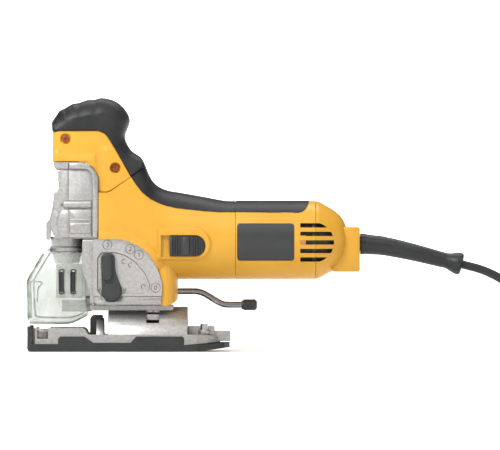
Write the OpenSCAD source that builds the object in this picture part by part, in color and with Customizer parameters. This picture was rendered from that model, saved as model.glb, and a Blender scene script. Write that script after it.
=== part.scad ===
/* [Housing] */
// Outer radius of the motor barrel
barrel_r = 31.8; // [31.6:0.1:32]
// Height of the motor axis above the sole
motor_z = 90.3; // [90.2:0.1:90.4]
// Wall thickness of the plastic shells
shell_t = 2.6; // [2:0.1:3]
// Half width of the gear case
case_half = 26; // [25.8:0.1:26.4]
// Where the body shells end and the motor housing begins
seam_x = 142.9; // [142:0.1:144]

/* [Mechanism] */
// Distance from the origin to the plunger axis
plunger_x = 5.9; // [5.7:0.1:6]
// Radius of the plunger rod
plunger_r = 4.5; // [4.3:0.1:4.6]
// Full stroke of the plunger
stroke = 26; // [22:1:26]
// Gear module
gear_m = 0.75; // [0.75]
// Teeth on the crank gear
gear_teeth = 60; // [60]
// Teeth on the armature pinion
pinion_teeth = 10; // [10]

/* [Shoe] */
// Half width of the shoe casting
shoe_half = 37.5; // [37:0.1:38]
// Radius of the half-round saddle that the tool tilts on
saddle_r = 33; // [32.9:0.1:33]
// Height of the tilt axis above the sole
tilt_z = 3; // [3:0.1:3.2]

/* [Cord] */
// Diameter of the cord
cord_d = 7; // [6.5:0.1:7.2]

/* [Hidden] */

YELLOW = [0.96, 0.70, 0.16];
BLACK = [0.17, 0.18, 0.18];
ALLOY = [0.74, 0.74, 0.72];
STEEL = [0.6, 0.61, 0.63];
BRONZE = [0.66, 0.48, 0.27];
COPPER = [0.72, 0.42, 0.25];
CLEAR = [0.85, 0.9, 0.88, 0.35];

fine = 64;
fit = 0.03;
far = 400;

// Front face and bottom of the gear case
case_front = -4.9;
case_back = 31.9;
case_low = 91.5;
case_top = 153.6;
cap_x = 208;
cap_end = 234.3;
box_end = 244.2;

// Crank axis: above the motor axis by the gears' centre distance
crank_z = motor_z + gear_m * (gear_teeth + pinion_teeth) / 2;
gear_x = 22.4;
gear_w = 5.2;
crank_throw = stroke / 2;

// ---- shared shapes ----

// Points of an arc about c, from angle a to angle b
function arc(c, r, a, b, n = 8) = [for (i = [0:n]) let (t = a + (b - a) * i / n) c + r * [cos(t), sin(t)]];

// Side outlines are drawn in X and Z and pushed through from y0 to y1
module side(y0, y1) translate([0, y1, 0]) rotate([90, 0, 0]) linear_extrude(y1 - y0) children();

module box(x0, x1, y0, y1, z0, z1) translate([x0, y0, z0]) cube([x1 - x0, y1 - y0, z1 - z0]);

// Round bars along X, Y and Z, given by their ends and the place of their axis
module rod_x(r, x0, x1, y = 0, z = 0, n = fine)
    translate([x0, y, z]) rotate([0, 90, 0]) cylinder(r = r, h = x1 - x0, $fn = n);

module rod_y(r, y0, y1, x = 0, z = 0, n = fine)
    translate([x, y1, z]) rotate([90, 0, 0]) cylinder(r = r, h = y1 - y0, $fn = n);

module rod_z(r, z0, z1, x = 0, y = 0, n = fine)
    translate([x, y, z0]) cylinder(r = r, h = z1 - z0, $fn = n);

// The half of a shape on one side of the mid-plane: -1 is the left side, +1 the right
module half(s) intersection() {
    children();
    box(-50, far, s < 0 ? -far : 0, s < 0 ? 0 : far, -50, far);
}

// ---- outlines of the housing, in X and Z ----

// Arc of the lower casting that the body shell wraps around
quadrant = [[32, 91.2], [48.3, 91.2], [56.6, 89.2], [63, 86.4], [68.4, 82.9], [72.5, 79], [75.8, 74],
    [79, 68.5], [81.2, 63.2], [83.7, 55.3], [83.2, 36.9]];
// Edge between the yellow shells and the black spine, front to back
spine_low = [[58.3, 141.2], [62.6, 134.9], [67.4, 128.8], [73.8, 123.8], [80, 120.5], [86.2, 118.2],
    [95, 116.2], [104.8, 115.1], [117, 113.8], [129.6, 112.9], [seam_x, 112.7]];
// Top line of the black spine, front to back
spine_top = [[69.7, 150.2], [71.3, 146.1], [75, 138.7], [80, 133.7], [87.5, 130.6], [98.6, 129.4],
    [117.2, 125.6], [133.3, 122.3], [seam_x, 121.9]];
// Black grip over the head: over the top and down the back
head_top = [[-5.6, 178.9], [-6.2, 184.8], [-5.2, 187.2], [0.2, 195.5], [4.5, 197.6], [10.9, 201.4],
    [16, 201.4], [22.9, 204.4], [28.5, 204.1], [34.6, 205.7], [43.8, 203.7], [50.9, 198.8], [55.5, 192.3],
    [56.9, 187.2], [55.5, 182.1], [53.1, 176.5], [53.1, 172.8], [55, 167.7], [58.7, 162.6], [65.4, 157.9],
    [67.6, 154.8], [69.7, 150.2]];
head_low = [[31.7, 178.9], [36, 177.3], [39, 174.6], [42.8, 168.4], [58.3, 141.2]];
head_shell_outline = concat([[-5.3, 178.9], [-5.3, 153.6], [15.6, 153.6], [20.6, 152.8], [24.4, 151],
    [27.3, 148.6], [30, 145.2], [31.9, 141.2], [31.9, 129], [39, 129], [42.4, 130.4], [45.3, 132.4],
    [58.3, 141.2]], [for (i = [3:-1:0]) head_low[i]]);

// Solid of the body's outer form, shrunk by t all round
module body_form(t = 0) hull() {
    for (s = [-1, 1]) {
        rod_x(9, 31.9, 33, s * (18 - t), 84 + t, 32);
        rod_x(9, 31.9, 33, s * (17 - t), 122 - t, 32);
        rod_x(9, 60, 62, s * (13 - t), 134.5 - t, 32);
    }
    rod_x(28.5 - t, 60, 62, 0, 91, 32);
    rod_x(barrel_r - t, 98, 100, 0, motor_z, 48);
}

// The skirt is a column behind the lower casting, arched below so that the tilted shoe clears it
skirt_half = 25.4;
skirt_x = [75.7, 96.1];
skirt_z = [36.9, 74];
shoe_sweep_r = 41;
module skirt(t = 0) difference() {
    translate([0, 0, skirt_z[0]]) linear_extrude(skirt_z[1] - skirt_z[0]) offset(delta = -t)
        polygon([for (s = [-1, 1], p = [[skirt_x[0], 19], [skirt_x[0] + 7.5, skirt_half],
            [skirt_x[1] - 4.2, skirt_half], [skirt_x[1], skirt_half - 5]])
            s < 0 ? [p[0], -p[1]] : [skirt_x[0] + skirt_x[1] - p[0], p[1]]]);
    rod_x(shoe_sweep_r, 60, 120, 0, tilt_z, 128);
}

module body_solid(t = 0) {
    body_form(t);
    rod_x(barrel_r - t, 98, seam_x, 0, motor_z);
    skirt(t);
}

// Regions of the body, split between the yellow shells and the black spine
module shell_region() polygon(concat(quadrant, [[96.1, 36.9], [96.4, 58], [seam_x, 58]],
    [for (i = [len(spine_low) - 1:-1:0]) spine_low[i]], [[45.3, 132.4], [42.4, 130.4], [39, 129],
    [32, 129]]));

module spine_region() polygon(concat(spine_low, [for (i = [len(spine_top) - 1:-1:0]) spine_top[i]]));

// ---- plastic shells ----

head_screws = [[5.3, 172.4], [45.5, 148.8]];
screw_head_r = 3.2;
recess_r = 4.5;
head_half = 26;
recess_y = -19;

module body_shell(s) half(s) difference() {
    intersection() {
        body_solid();
        side(-40, 40) shell_region();
    }
    body_solid(shell_t);
    rod_x(barrel_r - shell_t, 100, seam_x + 1, 0, motor_z);
    // Window for the slide switch, on the left only
    if (s < 0) box(82.6, 118.9, -40, -20, 76.8, 94.4);
    rod_x(lever_r + 0.3, 90, 100, 0, lever_z);
}

module body_shell_left() color(YELLOW) body_shell(-1);
module body_shell_right() color(YELLOW) body_shell(1);

module head_shell(s) half(s) difference() {
    side(-head_half, head_half) polygon(head_shell_outline);
    difference() {
        side(shell_t - head_half, head_half - shell_t) offset(delta = -shell_t) polygon(head_shell_outline);
        for (p = head_screws) rod_y(6.2, -head_half, head_half, p[0], p[1]);
    }
    // The shell is open at the top, under the grip
    side(shell_t - head_half, head_half - shell_t) polygon([[1, 165], [31, 165], [31, 185], [1, 185]]);
    rod_z(6, 150, 160, plunger_x);
    for (p = head_screws) {
        rod_y(1.6, -head_half - 1, head_half + 1, p[0], p[1]);
        rod_y(recess_r, -head_half - 1, recess_y, p[0], p[1]);
    }
}

module head_shell_left() color(YELLOW) head_shell(-1);
module head_shell_right() color(YELLOW) head_shell(1);

module vent_region() {
    widths = [216.3, 221.5, 222.7, 221.5, 216];
    for (i = [0:4]) translate([195.7, 100.4 - 6.8 * i]) square([widths[i] - 195.7, 3]);
}

label_r = barrel_r - 0.9;
module motor_housing() color(YELLOW) difference() {
    rod_x(barrel_r, seam_x, cap_x, 0, motor_z);
    rod_x(barrel_r - shell_t, seam_x - 1, cap_x + 1, 0, motor_z);
    side(-40, 40) polygon([[seam_x - 1, 112.7], [193.9, 112.1], [199.5, 115], [203.2, 121.9], [203.2, 140],
        [seam_x - 1, 140]]);
    side(-40, 40) intersection() {
        vent_region();
        square([cap_x, 200]);
    }
    // Shallow recess for the label plate
    intersection() {
        ring_x(40, label_r, 140, 195);
        side(-40, 0) translate([144.3, 73.5]) square([46.3, 30.3]);
    }
}

// Half profiles of the end cap, outside and inside: distance from the motor axis, then X
cap_profile = [[barrel_r, cap_x], [29.4, 213.7], [24.6, 222.3], [18.8, 229], [9.8, 233.4], [0, cap_end]];
cap_hollow = [[barrel_r - shell_t, cap_x + 1], [26.6, 213], [22, 221], [16.4, 227], [8.6, 230.6], [0, 231.4]];

// The cap is turned about the motor axis, with a box below it that holds the cord
module end_cap() color(YELLOW) difference() {
    union() {
        translate([0, 0, motor_z]) rotate([0, 90, 0]) rotate_extrude($fn = fine)
            polygon(concat([[0, cap_x]], smooth(cap_profile, 3)));
        box(220, box_end, -13, 13, 66, 100.8);
    }
    translate([0, 0, motor_z]) rotate([0, 90, 0]) rotate_extrude($fn = fine)
        polygon(concat([[0, cap_x - 1], [barrel_r - shell_t, cap_x - 1]], cap_hollow));
    box(222, box_end - shell_t, -10.4, 10.4, 68.6, 98.2);
    rod_x(6.2, box_end - 4, box_end + 1, 0, 87.1);
    side(-40, 40) intersection() {
        vent_region();
        translate([cap_x, 0]) square([40, 200]);
    }
}

module label_plate() color(BLACK) intersection() {
    ring_x(barrel_r, label_r, 140, 195);
    side(-40, 0) translate([144.6, 73.8]) square([45.7, 29.7]);
}

module head_grip_region() polygon(concat(head_top, [for (i = [len(head_low) - 1:-1:0]) head_low[i]]));

module head_grip() color(BLACK) difference() {
    union() {
        side(-22, 22) head_grip_region();
        side(-26, 26) offset(delta = -4) head_grip_region();
    }
    side(-19, 19) polygon([[0, 170], [32, 170], [48, 172], [48, 190], [40, 198], [12, 194], [0, 184]]);
}

module spine_grip_front() color(BLACK) difference() {
    intersection() {
        union() {
            body_form(-0.6);
            rod_x(barrel_r, 98, seam_x, 0, motor_z);
            side(-15, 15) polygon([[56, 141], [69.7, 150.2], [71.3, 146.1], [75, 138.7], [80, 133.7], [87.5, 130.6],
                [100, 129.2], [117.2, 125.6], [133.3, 122.3], [seam_x, 121.9], [seam_x, 112], [60, 120]]);
        }
        side(-40, 40) spine_region();
    }
    body_form(3.4);
    rod_x(barrel_r - shell_t, 90, seam_x + 1, 0, motor_z);
}

module spine_grip_rear() color(BLACK) intersection() {
    difference() {
        rod_x(barrel_r, seam_x, cap_x, 0, motor_z);
        rod_x(barrel_r - shell_t, seam_x - 1, cap_x + 1, 0, motor_z);
    }
    side(-40, 40) polygon([[seam_x, 112.7], [193.9, 112.1], [199.5, 115], [203.2, 121.9], [203.2, 140],
        [seam_x, 140]]);
}

// One screw in each recess of the head
module shell_screw(x, y, z) {
    rod_y(screw_head_r, y, y + 2.2, x, z);
    rod_y(1.6, y + 2.2, y + 30, x, z);
}

module shell_screws() color([0.35, 0.12, 0.08]) {
    for (p = head_screws) shell_screw(p[0], recess_y - 2.2, p[1]);
}

// ---- gear case and castings ----

nose_r = 12.8;
bush_r = 7.5;
neck_half = 9.2;
casting_half = 25;
plate_x = 29.4;

module gear_case() color(ALLOY) difference() {
    union() {
        side(-case_half, case_half) polygon([[case_front, case_top], [case_front, 150], [-0.6, 145.5], [-0.6, 131],
            [case_front, 128.5], [case_front, 117], [-1.6, 113], [-1.6, case_low],
            [case_back, case_low], [case_back, 141.2], [30, 145.2], [27.3, 148.6], [24.4, 151], [20.6, 152.8],
            [15.6, case_top]]);
        rod_z(nose_r, 82, 115, plunger_x);
        box(-2.8, 18.4, -neck_half, neck_half, 70.9, 82);
        // Ribs along the sides of the case
        for (s = [-1, 1]) rod_x(3.4, 3.7, 25.4, s * (case_half - 3.4), 119.2, 32);
        // Lugs that hold the guard's pin
        for (s = [-1, 1]) box(-10.6, 5.9, s < 0 ? -13.4 : 11.6, s < 0 ? -11.6 : 13.4, 80.3, 85);
    }
    difference() {
        box(1, case_back + 1, -23.5, 23.5, 92.9, 151);
        rod_z(9.5, 138, 152, plunger_x);
    }
    rod_z(bush_r, 70, 93, plunger_x);
    rod_z(bush_r, 137, 147, plunger_x);
    rod_z(6, 137, 160, plunger_x);
    rod_x(7, 20, 33, 0, motor_z);
    // The blade lever's claw sits in a pocket at the front
    box(-12, -0.2, -6.3, 6.3, 100, 127);
    rod_y(1.2, -12, 12, lever_pivot[0], lever_pivot[1]);
    rod_y(1, -14, 14, guard_pivot[0], guard_pivot[1]);
}

// Rear plate of the gear case, which carries the crank shaft
module gear_plate() color(ALLOY) difference() {
    box(plate_x, case_back, -23.5, 23.5, 92.9, 141);
    rod_x(7, plate_x - 1, case_back + 1, 0, motor_z);
    rod_x(5, plate_x - 1, case_back + 1, 0, crank_z);
}

module lower_casting() color(ALLOY) difference() {
    union() {
        box(18.7, 32, -neck_half, neck_half, 37.5, case_low);
        side(-casting_half, casting_half) polygon(concat([[31, 37.5], [31, case_low], [32, case_low]],
            [for (i = [0:len(quadrant) - 2]) quadrant[i]], [[83.2, 37.5]]));
    }
    // Hollow behind the selector plate, open above for the motor shaft
    side(-21, 21) polygon([[35, 52], [35, 87], [48, 87], [60, 82.5], [69, 74], [77, 60], [78, 52]]);
    box(35, 66, -12, 12, 80, 95);
    rod_x(7, 18, 36, 0, motor_z);
    // Channel for the roller fork, open in front and below
    box(20.2, 30, -7, 7, 30, 84);
    box(18, 21, -7, 7, 30, 62);
    box(10, 27, -20, 20, 30, 44);
    rod_y(fork_pin_r, -20, 20, fork_pivot[0], fork_pivot[1]);
    rod_y(hub_pin_r + fit, -30, -17, selector_hub[0], selector_hub[1]);
    rod_x(lever_r + fit, 77, 84, 0, lever_z);
    rod_z(clamp_bolt_r, 30, 60, 76);
}

selector_hub = [42.8, 48.6];
hub_pin_r = 4;
fork_pivot = [24.4, 76];
fork_pin_r = 2;
lever_pivot = [-3, 120.9];
clamp_bolt_r = 3;
lever_r = 2.45;
lever_z = 48.6;
plate_t = 1.5;

// Flat cover on the left of the lower casting, with a curved groove that the selector's tip follows
module selector_plate() color(ALLOY) difference() {
    side(-casting_half - plate_t, -casting_half) polygon(concat([[32, 45]],
        [for (i = [0:len(quadrant) - 2]) quadrant[i]], [[83.4, 45]]));
    rod_y(hub_pin_r + fit, -30, -20, selector_hub[0], selector_hub[1]);
}

module finger_guard() color(ALLOY) difference() {
    box(-2.8, 18.6, -neck_half, neck_half, 43.3, 70.9);
    box(-1.2, 19, -7.6, 7.6, 43, 71);
    for (x = [-0.4, 9]) box(x, x + 4.7, -20, 20, 46.5, 66.3);
    box(-4, 0, -5, 5, 43, 66.3);
}

seat_gap = 0.3;
seat_half = 14.4;
module tilt_seat() color(ALLOY) difference() {
    union() {
        box(33, 92.5, -seat_half, seat_half, 30, 37.5);
        box(25, 33, -seat_half, seat_half, 31.5, 37.5);
    }
    rod_x(saddle_r + seat_gap, 20, 120, 0, tilt_z, 128);
    rod_z(clamp_bolt_r, 25, 45, 76);
    box(20, 27.5, -9.5, 9.5, 25, 40);
}

module upper_bush() color(BRONZE) difference() {
    rod_z(bush_r, 138, 147, plunger_x);
    rod_z(plunger_r + fit, 137, 148, plunger_x);
}

module lower_bush() color(BRONZE) difference() {
    rod_z(bush_r, 72, 92.9, plunger_x);
    rod_z(plunger_r + fit, 71, 94, plunger_x);
}

module crank_shaft() color(STEEL) rod_x(5, 19.5, case_back, 0, crank_z);

// ---- drive ----

plunger_top = 157;
clamp_low = 44;
clamp_top = 58;

module plunger() color(STEEL) rod_z(plunger_r, clamp_top, plunger_top, plunger_x);

// Slotted cross-head that the crank pin drives; the plunger passes through it
module yoke() color(STEEL) difference() {
    box(plunger_x - 7, 18, -18, 18, crank_z - 5.5, crank_z + 5.5);
    box(plunger_x - 8, 10, -30, -8, crank_z - 6, crank_z + 6);
    box(plunger_x - 8, 10, 8, 30, crank_z - 6, crank_z + 6);
    box(plunger_x - 8, 1.2, -30, 30, crank_z - 6, crank_z + 6);
    box(13, 19, -17.2, 17.2, crank_z - 4.1, crank_z + 4.1);
    rod_z(plunger_r, 90, 140, plunger_x);
}

// Spring clamp for a bayonet-shank blade, with its slot open below
module blade_clamp() color(STEEL) difference() {
    rod_z(6.5, clamp_low, clamp_top, plunger_x);
    box(plunger_x - 4.4, plunger_x + 4.4, -0.8, 0.8, clamp_low - 1, clamp_low + 11);
}

// Involute of a circle of radius rb, at the radius r, as an angle
function inv_angle(r, rb) = let (a = acos(min(1, rb / r))) tan(a) * 180 / PI - a;

// Outline of an external gear; each flank has four points, and backlash thins the teeth
function gear_points(teeth, m, backlash, pressure = 25) = let (
    rp = m * teeth / 2, rb = rp * cos(pressure), ra = rp + 0.75 * m, rf = rp - m,
    half_tooth = 90 / teeth - backlash / rp * 90 / PI,
    start = max(rb, rf), steps = 3)
    [for (k = [0:teeth - 1], s = [-1, 1], i = [0:steps + 1]) let (
        j = s < 0 ? i : steps + 1 - i,
        r = j == 0 ? rf : start + (ra - start) * (j - 1) / steps,
        a = half_tooth + inv_angle(rp, rb) - inv_angle(max(r, rb), rb),
        t = 360 * k / teeth + s * a) [r * cos(t), r * sin(t)]];

backlash = 0.16;

// Pinion teeth point up at the crank gear, whose own teeth are turned by half a tooth
module armature() color(STEEL) {
    rod_x(3.97, 28.5, 214, 0, motor_z);
    translate([21.5, 0, motor_z]) rotate([0, 90, 0]) rotate(180)
        linear_extrude(7) polygon(gear_points(pinion_teeth, gear_m, backlash));
}

module crank_gear() color(STEEL) difference() {
    union() {
        translate([gear_x, 0, crank_z]) rotate([0, 90, 0]) rotate(180 / gear_teeth)
            linear_extrude(gear_w) polygon(gear_points(gear_teeth, gear_m, backlash));
        rod_x(9, gear_x - 1.6, gear_x, 0, crank_z);
        // The crank pin stops just short of the yoke
        translate([0, crank_throw, 0]) rod_x(4, 18.3, gear_x, 0, crank_z);
    }
    rod_x(5 + fit, 10, 40, 0, crank_z);
    // Lightening holes
    for (a = [60:60:300]) translate([0, 14 * cos(a), 14 * sin(a)]) rod_x(3.6, 10, 40, 0, crank_z);
}

core_x = [128, 178];
core_r = 17.5;

module armature_core() color([0.45, 0.43, 0.42]) difference() {
    union() {
        rod_x(core_r, core_x[0], core_x[1], 0, motor_z);
        rod_x(13, core_x[0] - 6, core_x[1] + 6, 0, motor_z);
    }
    rod_x(3.97, 100, 200, 0, motor_z);
    for (i = [0:11]) translate([0, 0, motor_z]) rotate([i * 30, 0, 0]) box(120, 190, -1, 1, 13, 20);
}

module commutator() color(COPPER) difference() {
    rod_x(11, 188, 202, 0, motor_z);
    rod_x(3.97, 180, 210, 0, motor_z);
}

module fan() color(BLACK) difference() {
    union() {
        rod_x(22, 116, 118, 0, motor_z);
        rod_x(7, 107, 118, 0, motor_z);
        for (i = [0:10]) translate([0, 0, motor_z]) rotate([i * 360 / 11, 0, 0])
            box(107, 116.5, -0.8, 0.8, 6, 21.6);
    }
    rod_x(3.97, 100, 120, 0, motor_z);
}

module ring_x(r, hole, x0, x1) difference() {
    rod_x(r, x0, x1, 0, motor_z);
    rod_x(hole, x0 - 1, x1 + 1, 0, motor_z);
}

module field_stator() color([0.4, 0.4, 0.42]) ring_x(barrel_r - shell_t, 18.2, core_x[0] - 2, core_x[1] + 2);
module front_bearing() color(STEEL) ring_x(11, 4, 96, 103);
module rear_bearing() color(STEEL) ring_x(11, 4, 205, 212);
module pinion_bush() color(BRONZE) ring_x(7, 4, 29.4, 35);

module bridge(x0, x1) color(BLACK) difference() {
    ring_x(barrel_r - shell_t, 11, x0, x1);
    // Room for the slide switch
    box(90, 110, -40, -23.3, 76, 95);
    for (a = [45:90:315]) translate([0, 0, motor_z]) rotate([a, 0, 0]) rod_x(5, x0 - 1, x1 + 1, 0, 20);
}

module front_bridge() bridge(98.5, 101.5);
module rear_bridge() bridge(205, cap_x);

module brush_holders() color(COPPER) for (s = [-1, 1]) difference() {
    box(190, 200, s < 0 ? -28 : 11.3, s < 0 ? -11.3 : 28, motor_z - 4, motor_z + 4);
    box(192, 198, s < 0 ? -26 : 11.2, s < 0 ? -11.2 : 26, motor_z - 5, motor_z - 3);
}

// ---- electrics ----

module switch_module() color(BLACK) box(46, 65, -22, -10, 93, 107);
module electronics_module() color([0.1, 0.35, 0.2]) box(66, 92, -13, 13, 98, 111);

slide_travel = 6.7;
module switch_slider() color(BLACK) {
    difference() {
        side(-33, -29.6) translate([89.3, 77.2]) square([29.4, 16.8]);
        for (x = [92:2.8:117]) if (abs(x + 0.7 - 102.9) > 4) box(x, x + 1.3, -34, -32.2, 77.2, 95);
    }
    box(100, 105.8, -34.4, -33, 77.2, 94);
    box(91, 116, -30, -25.2, 79, 92.5);
    box(90, 116, -25.3, -23.8, 80.5, 92);
}

module switch_link() color(BLACK) {
    box(72, 90, -25.3, -23.8, 88.5, 91.5);
    box(72, 75, -25.3, -16, 91.5, 99);
}

module cord_clamp() color(BLACK) difference() {
    box(222.4, 232, -10.4, 10.4, 76, 96);
    rod_x(cord_d / 2, 220, 240, 0, 87.1);
}

// ---- controls ----

module orbit_selector() color(BLACK) {
    side(-30, -26.8) union() {
        translate(selector_hub) circle(8.6, $fn = fine);
        polygon([[34.8, 50], [33.9, 76], [34.8, 78.4], [37, 79.4], [42.5, 79.4], [44.8, 78.4], [45.4, 76],
            [47, 62], [50.5, 52]]);
    }
    side(-34, -30) polygon([[35.6, 59.5], [36.8, 57.8], [41.2, 57.8], [42.4, 59.5], [42.4, 77.3], [41.2, 78.9],
        [36.8, 78.9], [35.6, 77.3]]);
    rod_y(hub_pin_r, -27, -18, selector_hub[0], selector_hub[1]);
}

roller_at = [19.6, 35.6];
roller_r = 3.8;
axle_r = 1.5;

module orbit_fork() color(STEEL) difference() {
    union() {
        box(21, 25.5, -3.4, 3.4, 39.7, 76);
        rod_y(3.2, -6.8, 6.8, fork_pivot[0], fork_pivot[1]);
        box(21, 26, -8.6, 8.6, 39.7, 43);
        for (s = [-1, 1]) {
            box(2, 26, s < 0 ? -8.6 : 6.9, s < 0 ? -6.9 : 8.6, 32.3, 41.5);
        }
        rod_y(axle_r, -8, 8, roller_at[0], roller_at[1]);
    }
    rod_y(fork_pin_r + fit, -10, 10, fork_pivot[0], fork_pivot[1]);
}

module fork_pin() color(STEEL) rod_y(fork_pin_r, -neck_half, neck_half, fork_pivot[0], fork_pivot[1]);

module guide_roller() color(STEEL) difference() {
    rod_y(roller_r, -6.5, 6.5, roller_at[0], roller_at[1]);
    rod_y(axle_r + fit, -7, 7, roller_at[0], roller_at[1]);
    // Groove that the back of the blade runs in
    translate([roller_at[0], 0, roller_at[1]]) rotate([90, 0, 0]) rotate_extrude($fn = fine)
        polygon([[3.1, 0], [4, -0.8], [4, 0.8]]);
}

module blade_lever() color(ALLOY) difference() {
    side(-5.9, 5.9) union() {
        translate(lever_pivot) circle(2.7, $fn = fine);
        polygon([[-5.7, 121], [-6.4, 113.9], [-8.6, 106.5], [-11, 104.5], [-11, 91.2], [-9.6, 90], [-7.9, 90.6],
            [-7.2, 92], [-7.1, 103], [-4.6, 111], [-1.6, 118.6]]);
    }
    rod_y(1.23, -10, 10, lever_pivot[0], lever_pivot[1]);
}

module lever_pin() color(STEEL) rod_y(1.2, -12, 12, lever_pivot[0], lever_pivot[1]);

guard_pivot = [-8.6, 82.3];
guard_half = 11.3;
guard_t = 1.8;
guard_reach = 62.5;

// Clear box around the blade: two side walls, a front wall and a rolled edge that holds its pin
module dust_guard() color(CLEAR) difference() {
    union() {
        side(-guard_half, guard_half) polygon(concat([[-8.6, 83.8], [-10.2, 82.8], [-14.2, 79], [-26.2, 56.9],
            [-26.6, 54.8], [-26.2, 26.6], [-25.2, 21.9], [7.4, 21.9]],
            arc(guard_pivot, guard_reach, -75.2, -59, 4), [[21.1, 42], [21.1, 77], [20.4, 79.4],
            [18.7, 80.4], [-7, 80.4], [-7.1, 82.3]]));
    }
    side(guard_t - guard_half, guard_half - guard_t) polygon([[-8.5, 80], [-12.6, 78.2], [-24.4, 56.4],
        [-24.8, 54.7], [-24.4, 26.8], [-23.6, 10], [40, 10], [40, 80.3], [40, 90], [-6.9, 90], [-6.9, 80]]);
    rod_y(1.03, -20, 20, guard_pivot[0], guard_pivot[1]);
}

module guard_pin() color(STEEL) rod_y(1, -13.4, 13.4, guard_pivot[0], guard_pivot[1]);

// Chrome rod, cranked so that its handle hangs below the barrel
lever_route = [[90, 0, 48.6], [111, 0, 48.6], [114.5, 0, 48.1], [118, 0, 46.4], [125, 0, 42], [131.5, 0, 38.6],
    [135.3, 0, 37.6], [149, 0, 37.6]];

module bevel_lever() color(STEEL) {
    rod_x(lever_r, 79.5, 90, 0, lever_z);
    sweep(lever_route, [for (p = lever_route) lever_r], 16);
}

module bevel_lever_cap() color(BLACK) difference() {
    union() {
        rod_x(4.5, 148.2, 158.9, 0, 37.6);
        rod_x(3.4, 158.9, 160.4, 0, 37.6);
    }
    rod_x(lever_r, 147, 149, 0, 37.6, 16);
}

// ---- shoe ----

// Outline of the shoe seen from above, pushed up from the height low
module shoe_plan(half_w, front, rear, low = 0) translate([0, 0, low]) linear_extrude(40 - low)
    polygon([for (s = [-1, 1]) each let (
        side_points = [[front, half_w - 3], [front + 3, half_w], [100, half_w], [112, half_w - 2.4],
            [121, half_w - 9], [rear - 4.5, half_w - 18], [rear, half_w - 28]])
        [for (i = [0:6]) let (p = side_points[s < 0 ? i : 6 - i]) [p[0], s * p[1]]]]);

// Inner faces of the shoe's side walls; the front ones are thinner, to clear the guard when it tilts
wall_in = 32.3;
front_wall_in = 33.3;
front_wall_end = 30;
rail_z = 13.9;
slot_angle = 52;
slot_r = [22, 50];
module shoe_casting() color(ALLOY) difference() {
    union() {
        difference() {
            intersection() {
                side(-shoe_half, shoe_half) polygon([[-21.9, 5.2], [-21.9, 17.3], [-20, 19.3], [19.4, 19.3],
                    [21.3, 18.2], [24.1, rail_z], [119.6, rail_z], [127, 12], [130.5, 9.6], [130.5, 7.6],
                    [102, 5.2]]);
                shoe_plan(shoe_half, -21.9, 130.5);
            }
            box(-40, 106, -wall_in, wall_in, 8.2, 40);
            box(-40, front_wall_end, -front_wall_in, front_wall_in, 6.2, 40);
            box(103, 140, -14.3, 14.3, 8.2, 40);
        }
        // Half-round saddle and the lip in front of it
        intersection() {
            union() {
                ring_at(saddle_r, 29, 39.7, 104.1);
                ring_at(24, 20.5, 30, 36.2);
            }
            box(20, 120, -40, 40, 6, 60);
        }
    }
    // Blade opening
    box(-14, 29, -24, 24, 0, 15);
    // Notches for an edge guide's bars, one in each side wall
    box(-17.3, -8.7, -50, 50, 10.4, 30);
    // Curved slot that the clamp bolt rides in
    translate([71, 0, tilt_z]) rotate([90, 0, 90]) linear_extrude(10)
        polygon(concat(arc([0, 0], slot_r[1], 90 - slot_angle, 90 + slot_angle),
            arc([0, 0], slot_r[0], 90 + slot_angle, 90 - slot_angle)));
    rod_z(2.1, 0, 15, 117.5, -19.5);
    rod_z(2.1, 0, 15, 117.5, 19.5);
}

module ring_at(r, hole, x0, x1) difference() {
    rod_x(r, x0, x1, 0, tilt_z, 128);
    rod_x(hole, x0 - 1, x1 + 1, 0, tilt_z, 128);
}

module clamp_plate() color(STEEL) {
    intersection() {
        ring_at(28.7, 24.5, 66, 86);
        box(60, 90, -10, 10, 20, 40);
    }
    rod_z(clamp_bolt_r, 28, 46, 76);
}

cover_half = 39;
tab_z = 12.3;
front_tab_in = 34.5;
// Plastic sole that wraps up round the casting in four tabs, with a slot for the blade
module sole_cover() color(BLACK) difference() {
    intersection() {
        side(-cover_half, cover_half) polygon([[-25.5, 2.5], [-24.5, 0.7], [-22.5, 0], [112, 0], [138.2, 3.4],
            [138.2, 7.3], [130.9, 7.3], [130.9, 7.2], [102.5, 5.2], [101.5, 5.2], [101.5, 10.9], [100, tab_z],
            [62.7, tab_z], [58.2, 7.2], [28, 7.2], [20.7, tab_z], [1.4, tab_z], [-0.4, 10.4], [-0.4, 6.2],
            [-22.2, 6.2], [-22.2, 20.6], [-25.5, 20.6]]);
        shoe_plan(cover_half, -25.5, 138.2, -1);
    }
    intersection() {
        shoe_plan(shoe_half, -21.9, 130.5);
        box(-30, 130.6, -50, 50, 5.2, 40);
    }
    box(-40, 102, -wall_in, wall_in, 5.2, 40);
    box(-40, -22, -front_tab_in, front_tab_in, 6.2, 40);
    box(-17, 24, -5, 5, -1, 10);
}

spout_wall = 1.6;
module dust_spout() color(ALLOY) difference() {
    union() {
        box(104.4, 126, -14, 14, 8.2, 20.3);
        box(126, 138.9, -11, 11, 8.2, 16.4);
        for (s = [-1, 1]) rod_z(4.6, rail_z, 17.5, 117.5, s * 19.5);
        box(113, 122, -19.5, 19.5, rail_z, 17.5);
    }
    box(104, 124.4, -14 + spout_wall, 14 - spout_wall, 9.8, 18.7);
    box(120, 140, -11 + spout_wall, 11 - spout_wall, 9.8, 14.8);
    for (s = [-1, 1]) rod_z(2.1, 10, 20, 117.5, s * 19.5);
}

module spout_screws() color(STEEL) for (s = [-1, 1]) {
    rod_z(3.1, 17.5, 22, 117.5, s * 19.5, 6);
    rod_z(2.1, 5.3, 17.5, 117.5, s * 19.5);
}

// ---- cord ----

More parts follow.
